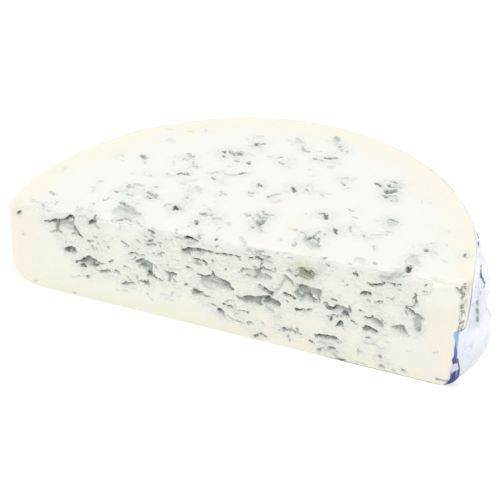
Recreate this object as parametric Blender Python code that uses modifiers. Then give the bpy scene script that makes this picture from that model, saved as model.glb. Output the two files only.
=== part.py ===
# Half a wheel of blue cheese in its foil. The wheel was cut in two through its axis and then
# level at half its height, so the upright front and the top are both cut faces, with the open
# veins showing as ragged hollows. The foil is still on the curved side, and torn off one corner.
# Metres, +Z up. The front faces -Y, and the origin is on the flat underside, under the middle.

import math
import random

import bmesh
import bpy
from mathutils import Matrix, Vector, noise

MM = 0.001

# The wheel: driving sizes
RADIUS = 100 * MM  # half the width of the front
DEPTH = 103.5 * MM  # from the front to the back of the curved side
HEIGHT = 46.1 * MM  # at the middle of the front
SLANT = 4.7 * MM  # the right end is this much higher than the middle, and the left end lower
FRONT_Y = -50 * MM  # where the front stands
RIM_WIDTH = 11.5 * MM  # the rounding of the lower rim, inwards
RIM_HEIGHT = 9 * MM  # and upwards
DRAFT = 2.2 * MM  # how far the wall leans in from the top edge down to the floor
LEFT_CORNER = 3.2 * MM  # the rounding between the front and the curved side, at the left end
RIM_SHARE = 0.3  # the part of the wall's section that the rounding takes
RIM_STEPS = 6
TURN_STEPS = 54

# The hollows of the veins, in millimetres and degrees: place across, place up (on the front) or
# back (on the top), width, height and tilt.
FRONT_HOLLOWS = (
    (-73, 36.5, 15, 7, 12),
    (-66, 33.5, 3.5, 6, 28),
    (-58, 43, 3, 6.5, -20),
    (-70, 24, 6, 3, 15),
    (-61.5, 20.3, 10, 5, 8),
    (-35, 25.5, 8, 6, -10),
    (-30, 20, 8, 2.6, -38),
    (-33, 37, 11, 1.8, 5),
    (-24, 24, 6, 5, -20),
    (-15.5, 44.6, 7, 3.4, 0),
    (-16, 38, 7, 4, 10),
    (-1, 40.2, 20, 1.6, 3),
    (-10, 33.5, 7, 4, 0),
    (-5, 25.3, 14, 7, -12),
    (-11.4, 17.5, 5, 2.6, -10),
    (-2, 11.2, 10, 2.2, -35),
    (5, 14.5, 7, 3, 15),
    (16.5, 42, 8, 4, 0),
    (14.5, 35, 12, 6, 8),
    (19, 26.8, 6, 3.6, -30),
    (15.5, 20.8, 17, 4.6, 10),
    (35.5, 40.5, 9, 4.5, 0),
    (36.5, 31, 11, 6.5, -10),
    (28.5, 26.6, 4.6, 3, -20),
    (35, 21.3, 6, 2.4, 15),
    (49.5, 26, 10, 5, -12),
    (51, 18.6, 3.2, 2.4, 0),
    (67, 44, 11, 3.4, -5),
    (60.5, 36.6, 4.5, 2.4, 5),
    (65, 25.4, 8, 3.6, -15),
    (63.2, 19.4, 4.5, 3, -15),
    (75.5, 23, 6.5, 3.6, -15),
    (81, 31.5, 6.5, 8, -20),
    (46, 10.4, 9, 2.6, 5),
    (46, 5, 7, 4, -10),
    (30, 9, 7, 3, 8),
    (-43, 14, 8, 2.4, 15),
)
TOP_HOLLOWS = (
    (-46, 10.5, 14, 10, -35),
    (9, 20, 7, 12, 20),
    (33.5, 12, 9.5, 8.5, -15),
    (53, 58, 7, 14, 8),
    (32.7, 31, 5, 4.5, -30),
    (60.5, 34, 5, 5, 0),
    (75, 12, 5, 7, 0),
    (71, 2.5, 11, 2.6, 30),
    (40, 22.3, 4.5, 2, -45),
    (57, 24.5, 9, 1.4, 15),
    (13, 46, 2, 5, 30),
    (7, 39, 6, 2, 40),
    (-18, 50, 14, 1.8, 20),
    (-22, 65.5, 10, 6, -15),
    (-14.5, 77.5, 5, 4, 30),
    (2.5, 85, 6, 7, 0),
    (17.5, 91, 6, 6, -30),
    (20, 75, 8, 2, 15),
    (-40, 58, 6, 6, -20),
    (-59.5, 51.5, 4.5, 4, -40),
    (-37, 43.5, 8, 2.2, 25),
    (-54, 27, 6, 7, -30),
    (-41, 25, 6, 5, -40),
    (-28, 18, 4, 4.4, 0),
    (-13.5, 17.3, 9, 2.6, -10),
)
SMALL_ON_FRONT = 10
SMALL_ON_TOP = 14
SMALL_WIDTH = (2, 4.5)  # millimetres, smallest and largest
SMALL_SQUASH = (0.35, 0.7)  # height as a share of the width
RIND_MARGIN = 14  # millimetres next to the rind that hold no small hollows
HOLLOW_SPACING = 0.8  # millimetres of cheese left between a small hollow and the next one
HOLLOW_DEPTH = 1.1 * MM  # of the narrowest crack
DEPTH_SHARE = 0.32  # how much deeper a hollow gets with its narrow side
OVERHANG = 0.45  # how far a hollow on the front runs up as it goes in, as a share of its depth
RAGGED = 0.5  # how far a hollow's outline strays, as a share of its size
FINE_FROM = 9.5  # millimetres: a hollow narrower than this is made of fewer faces

# The foil
FOIL = 0.5 * MM  # thickness of its solid
FOIL_GAP = 0.5 * MM  # between the rind and the foil where it lies close
FOIL_DROP = 1.2 * MM  # the foil's upper edge is this far below the top
FOIL_TUCK = 0.1  # share of the wall's section where the close foil ends, under the rim
FOIL_START = 0.6  # degrees, where the foil starts at the right end
LEFT_END = 176  # and where it ends, behind the left corner
PUFF = 9.5 * MM  # how far the loose foil stands out beyond the wall near the right end
PUFF_FALL = 1.2  # how its stand-off shrinks towards the top: 1 is evenly
PUFF_RISE = 14  # degrees from the right end over which it comes to stand out that far
PUFF_END = 80  # degrees from the right end where it lies close again
SKIRT_ROUND = 9 * MM  # the rounding of the loose foil's lower edge
FLOOR_GAP = 0.2 * MM  # between the loose foil and the floor
TEAR_TURN = 10  # degrees of foil torn away at the upper right corner
TEAR_HEIGHT = 0.6  # share of the wall's height down to which it is torn
CRINKLE = 0.55 * MM
CRINKLE_SCALE = 95  # crinkles a metre
FOIL_ACROSS = 48
FOIL_CROWDING = 1.35  # above 1, its faces are narrower near the right end
FOIL_UP = 11


def clear_scene():
    for obj in list(bpy.data.objects):
        bpy.data.objects.remove(obj, do_unlink=True)


def new_collection(name):
    collection = bpy.data.collections.new(name)
    bpy.context.scene.collection.children.link(collection)
    return collection


def new_material(name, colour, roughness, metallic=0.0):
    material = bpy.data.materials.new(name)
    material.use_nodes = True
    shader = material.node_tree.nodes["Principled BSDF"]
    shader.inputs["Base Color"].default_value = (*colour, 1.0)
    shader.inputs["Roughness"].default_value = roughness
    shader.inputs["Metallic"].default_value = metallic
    return material


def new_object(name, bm, collection, material=None):
    mesh = bpy.data.meshes.new(name)
    bm.to_mesh(mesh)
    bm.free()
    obj = bpy.data.objects.new(name, mesh)
    collection.objects.link(obj)
    if material:
        mesh.materials.append(material)
    return obj


def smoothstep(low, high, value):
    t = min(max((value - low) / (high - low), 0.0), 1.0)
    return t * t * (3 - 2 * t)


def top_height(x):
    return HEIGHT + SLANT * x / RADIUS


def wall_section(share):
    """The wall's section from the floor (0) to the top (1), on a wheel of even height:
    its radius and height, and which way it faces there, as (outwards, up)."""
    if share < RIM_SHARE:
        turn = math.pi / 2 * share / RIM_SHARE
        inset = RIM_WIDTH * (1 - math.sin(turn))
        height = RIM_HEIGHT * (1 - math.cos(turn))
        facing = Vector((math.sin(turn), -math.cos(turn)))
    else:
        inset = 0.0
        height = RIM_HEIGHT + (HEIGHT - RIM_HEIGHT) * (share - RIM_SHARE) / (1 - RIM_SHARE)
        facing = Vector((1.0, 0.0))
    radius = RADIUS - inset - DRAFT * (1 - height / HEIGHT)
    return radius, height, facing


def to_half_wheel(point):
    """Takes a point of a round wheel of even height to the real one, deeper than it is wide
    and higher at the right, and puts the front where it stands."""
    x, y, z = point
    return Vector((x, y * DEPTH / RADIUS + FRONT_Y, z * top_height(x) / HEIGHT))


def make_wheel(collection, material):
    """The half wheel: its section turned half way round, closed with the front."""
    rim = [wall_section(RIM_SHARE * i / RIM_STEPS)[:2] for i in range(RIM_STEPS + 1)]
    profile = [(0.0, HEIGHT), wall_section(1)[:2], *reversed(rim), (0.0, 0.0)]
    bm = bmesh.new()
    corners = [bm.verts.new((radius, 0, height)) for radius, height in profile]
    for start, end in zip(corners, corners[1:]):
        bm.edges.new((start, end))
    turned = new_object("turned", bm, collection)
    screw = turned.modifiers.new("turn", "SCREW")
    screw.angle = math.pi
    screw.steps = TURN_STEPS
    screw.render_steps = TURN_STEPS
    screw.use_merge_vertices = True
    screw.merge_threshold = 1e-5
    graph = bpy.context.evaluated_depsgraph_get()
    open_mesh = bpy.data.meshes.new_from_object(turned.evaluated_get(graph))
    bpy.data.objects.remove(turned)

    bm = bmesh.new()
    bm.from_mesh(open_mesh)
    bmesh.ops.holes_fill(bm, edges=[edge for edge in bm.edges if edge.is_boundary], sides=0)
    bmesh.ops.recalc_face_normals(bm, faces=bm.faces)
    left_corner = [
        edge
        for edge in bm.edges
        if all(v.co.x < 0 and abs(v.co.y) < 1e-6 and v.co.z > RIM_HEIGHT - 1e-6 for v in edge.verts)
        and abs(edge.verts[0].co.z - edge.verts[1].co.z) > RIM_HEIGHT
    ]
    bmesh.ops.bevel(bm, geom=left_corner, offset=LEFT_CORNER, segments=3, profile=0.5, affect="EDGES")
    for vert in bm.verts:
        vert.co = to_half_wheel(vert.co)
    return new_object("cheese", bm, collection, material)


def hollow_sites():
    """Every hollow as (face, place across, place up or back, width, height, tilt): the large
    ones above, and small ones scattered between them, clear of the rind."""
    sites = [("front", *hollow) for hollow in FRONT_HOLLOWS]
    sites += [("top", *hollow) for hollow in TOP_HOLLOWS]
    draw = random.Random(41)
    for face, wanted in (("front", SMALL_ON_FRONT), ("top", SMALL_ON_TOP)):
        made = 0
        while made < wanted:
            across = draw.uniform(-1, 1) * (RADIUS / MM - RIND_MARGIN)
            if face == "front":
                along = draw.uniform(6, HEIGHT / MM - 6)
                inside = True
            else:
                along = draw.uniform(5, DEPTH / MM - RIND_MARGIN)
                inside = math.hypot(across, along) < RADIUS / MM - RIND_MARGIN
            width = draw.uniform(*SMALL_WIDTH)
            height = width * draw.uniform(*SMALL_SQUASH)
            tilt = draw.uniform(-40, 40)
            near = any(
                math.hypot(across - other[1], along - other[2])
                < (width + max(other[3], other[4])) / 2 * (1 + RAGGED / 2) + HOLLOW_SPACING
                for other in sites
                if other[0] == face
            )
            if inside and not near:
                sites.append((face, across, along, width, height, tilt))
                made += 1
    return sites


def make_hollow(number, site, collection):
    """A cutter for one hollow: a lump with a ragged surface, flattened into the face."""
    face, across, along, width, height, tilt = site
    depth = HOLLOW_DEPTH + DEPTH_SHARE * min(width, height) * MM
    if face == "front":
        centre = Vector((across * MM, FRONT_Y, along * MM))
        side, up, inward = Vector((1, 0, 0)), Vector((0, 0, 1)), Vector((0, 1, 0))
        climb = up * OVERHANG
    else:
        centre = Vector((across * MM, along * MM + FRONT_Y, top_height(across * MM)))
        side, up, inward = Vector((1, 0, 0)), Vector((0, 1, 0)), Vector((0, 0, -1))
        climb = Vector((0, 0, 0))
    turn = Matrix.Rotation(math.radians(tilt), 3, -inward)
    bm = bmesh.new()
    fine = max(width, height) > FINE_FROM
    bmesh.ops.create_icosphere(bm, subdivisions=3 if fine else 2, radius=1)
    roll = Matrix.Rotation(1 + number, 3, Vector((3, 2, 1)))  # so that no two hollows are alike
    for vert in bm.verts:
        vert.co.rotate(roll)
        spot = vert.co * 1.5 + Vector((number * 7.3, 0, 0))
        stray = noise.noise(spot) + 0.5 * noise.noise(spot * 2.6)
        lump = vert.co * (1 + RAGGED * stray)
        flat = side * lump.x * width / 2 * MM + up * lump.y * height / 2 * MM
        vert.co = centre + turn @ flat + (inward + climb) * lump.z * depth
    bm.normal_update()
    bmesh.ops.recalc_face_normals(bm, faces=bm.faces)
    hollow = new_object(f"hollow_{number}", bm, collection)
    hollow.hide_render = True
    hollow.display_type = "WIRE"


def cut_hollows(wheel, collection):
    cut = wheel.modifiers.new("hollows", "BOOLEAN")
    cut.operation = "DIFFERENCE"
    cut.operand_type = "COLLECTION"
    cut.collection = collection
    cut.solver = "EXACT"


def close_foil(share):
    """The section of the foil where it lies against the wall: radius and height."""
    radius, height, facing = wall_section(FOIL_TUCK + (1 - FOIL_TUCK) * share)
    return Vector((radius + facing.x * FOIL_GAP, height + facing.y * FOIL_GAP))


def loose_foil(share, puff):
    """The section of the foil where it hangs free of the rim: it lies on the floor, turns up in
    a round, stands off by the puff and leans back to the wall's top."""
    floor = FOIL + FLOOR_GAP
    if share < RIM_SHARE:
        turn = math.pi / 2 * share / RIM_SHARE
        inset = SKIRT_ROUND * (1 - math.sin(turn))
        height = floor + (SKIRT_ROUND - floor) * (1 - math.cos(turn))
        return Vector((RADIUS + FOIL_GAP + puff - inset, height))
    up = (share - RIM_SHARE) / (1 - RIM_SHARE)
    stand_off = FOIL_GAP + puff * (1 - up**PUFF_FALL)
    return Vector((RADIUS + stand_off, SKIRT_ROUND + (HEIGHT - SKIRT_ROUND) * up))


def make_foil(collection, material):
    """The foil: a sheet that follows the wall, loose near the right end and torn at its upper
    corner. It gets its thickness outwards."""
    bm = bmesh.new()
    bmesh.ops.create_grid(bm, x_segments=FOIL_ACROSS, y_segments=FOIL_UP, size=1)
    for vert in bm.verts:
        along, up = (vert.co.x + 1) / 2, (vert.co.y + 1) / 2
        degrees = FOIL_START + (LEFT_END - FOIL_START) * along**FOIL_CROWDING
        vert.co = Vector((degrees, up * (1 - FOIL_DROP / HEIGHT), 0))
    torn = []
    for face in bm.faces:
        middle = face.calc_center_median()
        if middle.x < TEAR_TURN and middle.y > TEAR_HEIGHT:
            torn.append(face)
    bmesh.ops.delete(bm, geom=torn, context="FACES")
    for vert in bm.verts:
        degrees, share = vert.co.x, vert.co.y
        puff = PUFF * smoothstep(-PUFF_RISE, PUFF_RISE, degrees) * 2 - PUFF
        loose = 1 - smoothstep(PUFF_RISE, PUFF_END, degrees)
        radius, height = close_foil(share).lerp(loose_foil(share, puff), loose)
        turn = math.radians(degrees)
        spot = Vector((radius * math.cos(turn), radius * math.sin(turn), height))
        radius += abs(noise.noise(spot * CRINKLE_SCALE)) * CRINKLE * (1 + 2 * loose)
        vert.co = to_half_wheel((radius * math.cos(turn), radius * math.sin(turn), height))
    bm.normal_update()
    foil = new_object("wrapper", bm, collection, material)
    back = max(foil.data.polygons, key=lambda polygon: polygon.center.y)
    thicken = foil.modifiers.new("thickness", "SOLIDIFY")
    thicken.thickness = FOIL
    thicken.offset = 1 if back.normal.y > 0 else -1
    return foil


def main():
    clear_scene()
    parts = new_collection("blue_cheese_half_wheel")
    cutters = new_collection("hollow_cutters")
    paste = new_material("cheese", (0.90, 0.88, 0.77), 0.45)
    silver = new_material("wrapper", (0.72, 0.75, 0.84), 0.32, 0.6)
    wheel = make_wheel(parts, paste)
    for number, site in enumerate(hollow_sites()):
        make_hollow(number, site, cutters)
    cut_hollows(wheel, cutters)
    foil = make_foil(parts, silver)
    for obj in (wheel, foil):
        obj.data.shade_smooth()
        obj.data.set_sharp_from_angle(angle=math.radians(35))


main()
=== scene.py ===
import math

import bmesh
import bpy
import numpy as np
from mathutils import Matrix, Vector, noise


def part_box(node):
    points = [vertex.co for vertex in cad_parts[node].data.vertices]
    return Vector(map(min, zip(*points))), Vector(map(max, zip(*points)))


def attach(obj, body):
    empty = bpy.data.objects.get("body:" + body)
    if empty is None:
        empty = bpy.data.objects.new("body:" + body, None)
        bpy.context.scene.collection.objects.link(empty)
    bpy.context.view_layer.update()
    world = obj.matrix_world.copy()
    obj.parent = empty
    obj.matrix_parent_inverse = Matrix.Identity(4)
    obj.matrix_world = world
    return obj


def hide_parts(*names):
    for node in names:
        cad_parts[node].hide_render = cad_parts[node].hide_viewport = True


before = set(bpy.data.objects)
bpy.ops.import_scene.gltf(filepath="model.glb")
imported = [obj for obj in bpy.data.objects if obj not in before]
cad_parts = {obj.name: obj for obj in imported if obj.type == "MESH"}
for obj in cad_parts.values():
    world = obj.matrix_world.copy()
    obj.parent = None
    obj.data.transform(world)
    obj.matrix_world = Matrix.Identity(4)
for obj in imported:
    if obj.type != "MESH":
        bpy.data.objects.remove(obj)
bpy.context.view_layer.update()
mm = 0.001
noise.seed_set(3)                # without it the vector noise differs at each run

# The half wheel as the frame gives it: its front is the plane of lowest y, and its right end is highest.
wheelLow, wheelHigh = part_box("cheese")
wheel = {
    "radius": wheelHigh.x / mm,
    "depth": (wheelHigh.y - wheelLow.y) / mm,
    "frontY": wheelLow.y / mm,
    "rightHeight": wheelHigh.z / mm,
    "slant": 4.7,                   # the right end is this much higher than the middle
    # the next three are given for the back, and by how much they change up to the right end; up to the left
    # end they change the other way
    "rimWidth": (8.0, -3.5),        # rounding of the lower rim, inwards and upwards
    "rimHeight": (7.0, -2.0),
    "draft": (-0.7, 0.9),           # how far the wall leans in at the floor
    "rimShare": 0.3,                # share of the wall's section that the rounding takes
}
wheel["height"] = wheel["rightHeight"] - wheel["slant"]


def smooth(low, high, value):
    t = np.clip((value - low) / (high - low), 0, 1)
    return t * t * (3 - 2 * t)


def topHeight(x):
    return wheel["height"] + wheel["slant"] * x / wheel["radius"]


def measure(name, side):
    # a measure of the wall, from the left end (side -1) to the right end (side 1)
    middle, change = wheel[name]
    return middle + change * side


def wallRadius(height, side):
    rimHeight = measure("rimHeight", side)
    left = np.clip(1 - height / rimHeight, 0, 1)       # of the rounding
    inset = measure("rimWidth", side) * (1 - np.sqrt(1 - left * left))
    return wheel["radius"] - inset - measure("draft", side) * (1 - (height / wheel["height"]) ** 2)


def wallSection(share, side):
    # radius, height and outward facing of the wall, from the floor (share 0) to the top (1), in mm
    rimHeight = measure("rimHeight", side)
    if share < wheel["rimShare"]:
        turn = math.pi / 2 * share / wheel["rimShare"]
        height = rimHeight * (1 - math.cos(turn))
        facing = (math.sin(turn), -math.cos(turn))
    else:
        up = (share - wheel["rimShare"]) / (1 - wheel["rimShare"])
        height = rimHeight + (wheel["height"] - rimHeight) * up
        facing = (1, 0)
    return wallRadius(height, side), height, facing


def toHalfWheel(x, y, z):
    # from a round wheel of even height to the real one, in metres
    back = y * wheel["depth"] / wheel["radius"] + wheel["frontY"]
    return Vector((x, back, z * topHeight(x) / wheel["height"])) * mm


# Shader maths is written as expressions on these wires.
class Wire:
    def __init__(self, finish, socket):
        self.finish = finish
        self.socket = socket

    def maths(self, operation, *values):
        sockets = {i: value for i, value in enumerate(values)}
        return self.finish.add("ShaderNodeMath", {"operation": operation}, sockets)

    def __add__(self, other):
        return self.maths("ADD", self, other)

    def __sub__(self, other):
        return self.maths("SUBTRACT", self, other)

    def __rsub__(self, other):
        return self.maths("SUBTRACT", other, self)

    def __mul__(self, other):
        return self.maths("MULTIPLY", self, other)

    __radd__ = __add__
    __rmul__ = __mul__

    def least(self, other):
        return self.maths("MINIMUM", self, other)

    def most(self, other):
        return self.maths("MAXIMUM", self, other)


class Finish:
    def __init__(self, name):
        self.material = bpy.data.materials.new(name)
        self.material.use_nodes = True
        self.nodes = self.material.node_tree.nodes
        self.shader = self.nodes["Principled BSDF"]
        self.place = self.add("ShaderNodeTexCoord", {}, {}, "Object")

    def plug(self, socket, value):
        if isinstance(value, Wire):
            self.material.node_tree.links.new(value.socket, socket)
        elif isinstance(value, tuple) and len(value) == 3 and socket.type == "RGBA":
            socket.default_value = (*value, 1)
        else:
            socket.default_value = value

    def add(self, kind, settings, sockets, out=0):
        node = self.nodes.new(kind)
        for name, value in settings.items():
            if name == "stops":
                for i, (position, colour) in enumerate(value):
                    stop = node.color_ramp.elements[i] if i < 2 else node.color_ramp.elements.new(position)
                    stop.position = position
                    stop.color = (*colour, 1)
            else:
                setattr(node, name, value)
        for name, value in sockets.items():
            self.plug(node.inputs[name], value)
        return Wire(self, node.outputs[out])

    def set(self, **sockets):
        for name, value in sockets.items():
            self.plug(self.shader.inputs[name.replace("_", " ")], value)

    def vectors(self, operation, first, second):
        return self.add("ShaderNodeVectorMath", {"operation": operation}, {0: first, 1: second})

    def stretch(self, x, y, z):
        # the place on the piece, counted in lengths of this many millimetres
        scale = (1 / (x * mm), 1 / (y * mm), 1 / (z * mm))
        return self.add("ShaderNodeMapping", {}, {"Vector": self.place, "Scale": scale})

    def grain(self, x, y=None, z=None, detail=3.0, rough=0.55, shift=0.0):
        # noise with lumps of this many millimetres
        vector = self.vectors("ADD", self.stretch(x, y or x, z or x), (shift, shift, shift))
        sockets = {"Vector": vector, "Scale": 1.0, "Detail": detail, "Roughness": rough}
        return self.add("ShaderNodeTexNoise", {}, sockets)

    def axes(self):
        # x, y and z in millimetres
        node = self.add("ShaderNodeSeparateXYZ", {}, {0: self.place}).socket.node
        return [Wire(self, node.outputs[i]) * (1 / mm) for i in range(3)]

    def crumbs(self, x, y, z, shift):
        # a random value for each crumb of this many millimetres
        vector = self.vectors("ADD", self.stretch(x, y, z), (shift, 0.0, 0.0))
        colour = self.add("ShaderNodeTexVoronoi", {}, {"Vector": vector, "Scale": 1.0}, "Color")
        return self.add("ShaderNodeSeparateColor", {}, {0: colour})

    def network(self, x, y, z, stray):
        # how far from the border of ragged cells of this many millimetres, in cells
        vector = self.stretch(x, y, z)
        lumps = self.add("ShaderNodeTexNoise", {}, {"Vector": vector, "Scale": 2.0, "Detail": 4.0}, "Color")
        away = self.add("ShaderNodeVectorMath", {"operation": "SCALE"}, {0: lumps, "Scale": stray})
        sockets = {"Vector": self.vectors("ADD", vector, away), "Scale": 1.0}
        return self.add("ShaderNodeTexVoronoi", {"feature": "DISTANCE_TO_EDGE"}, sockets)

    def spot(self, place, size, ragged):
        # 1 in the middle of a spot and 0 outside it
        x, y, z = place
        middle = (x * mm, (y + wheel["frontY"]) * mm, z * mm)
        scale = tuple(1 / (length * mm) for length in size)
        vector = self.vectors("MULTIPLY", self.vectors("SUBTRACT", self.place, middle), scale)
        away = self.add("ShaderNodeVectorMath", {"operation": "LENGTH"}, {0: vector}, "Value")
        return 1 - self.fade(away + (ragged - 0.5) * 1.6, 0.3, 1.1)

    def fade(self, value, low, high):
        # 0 below the low value and 1 above the high one
        sockets = {"Value": value, "From Min": low, "From Max": high}
        return self.add("ShaderNodeMapRange", {"interpolation_type": "SMOOTHSTEP"}, sockets)

    def attribute(self, name):
        return self.add("ShaderNodeAttribute", {"attribute_name": name}, {}, "Fac")

    def mix(self, share, first, second):
        return self.add("ShaderNodeMix", {"data_type": "RGBA"}, {0: share, 6: first, 7: second}, 2)

    def bump(self, height, distance, strength):
        # a relief of this many millimetres
        sockets = {"Height": height, "Distance": distance * mm, "Strength": strength}
        return self.add("ShaderNodeBump", {}, sockets)


def tint(red, green, blue):
    # screen colour to shader colour
    def linear(c):
        c /= 255
        return c / 12.92 if c <= 0.04045 else ((c + 0.055) / 1.055) ** 2.4
    return linear(red), linear(green), linear(blue)


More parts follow.
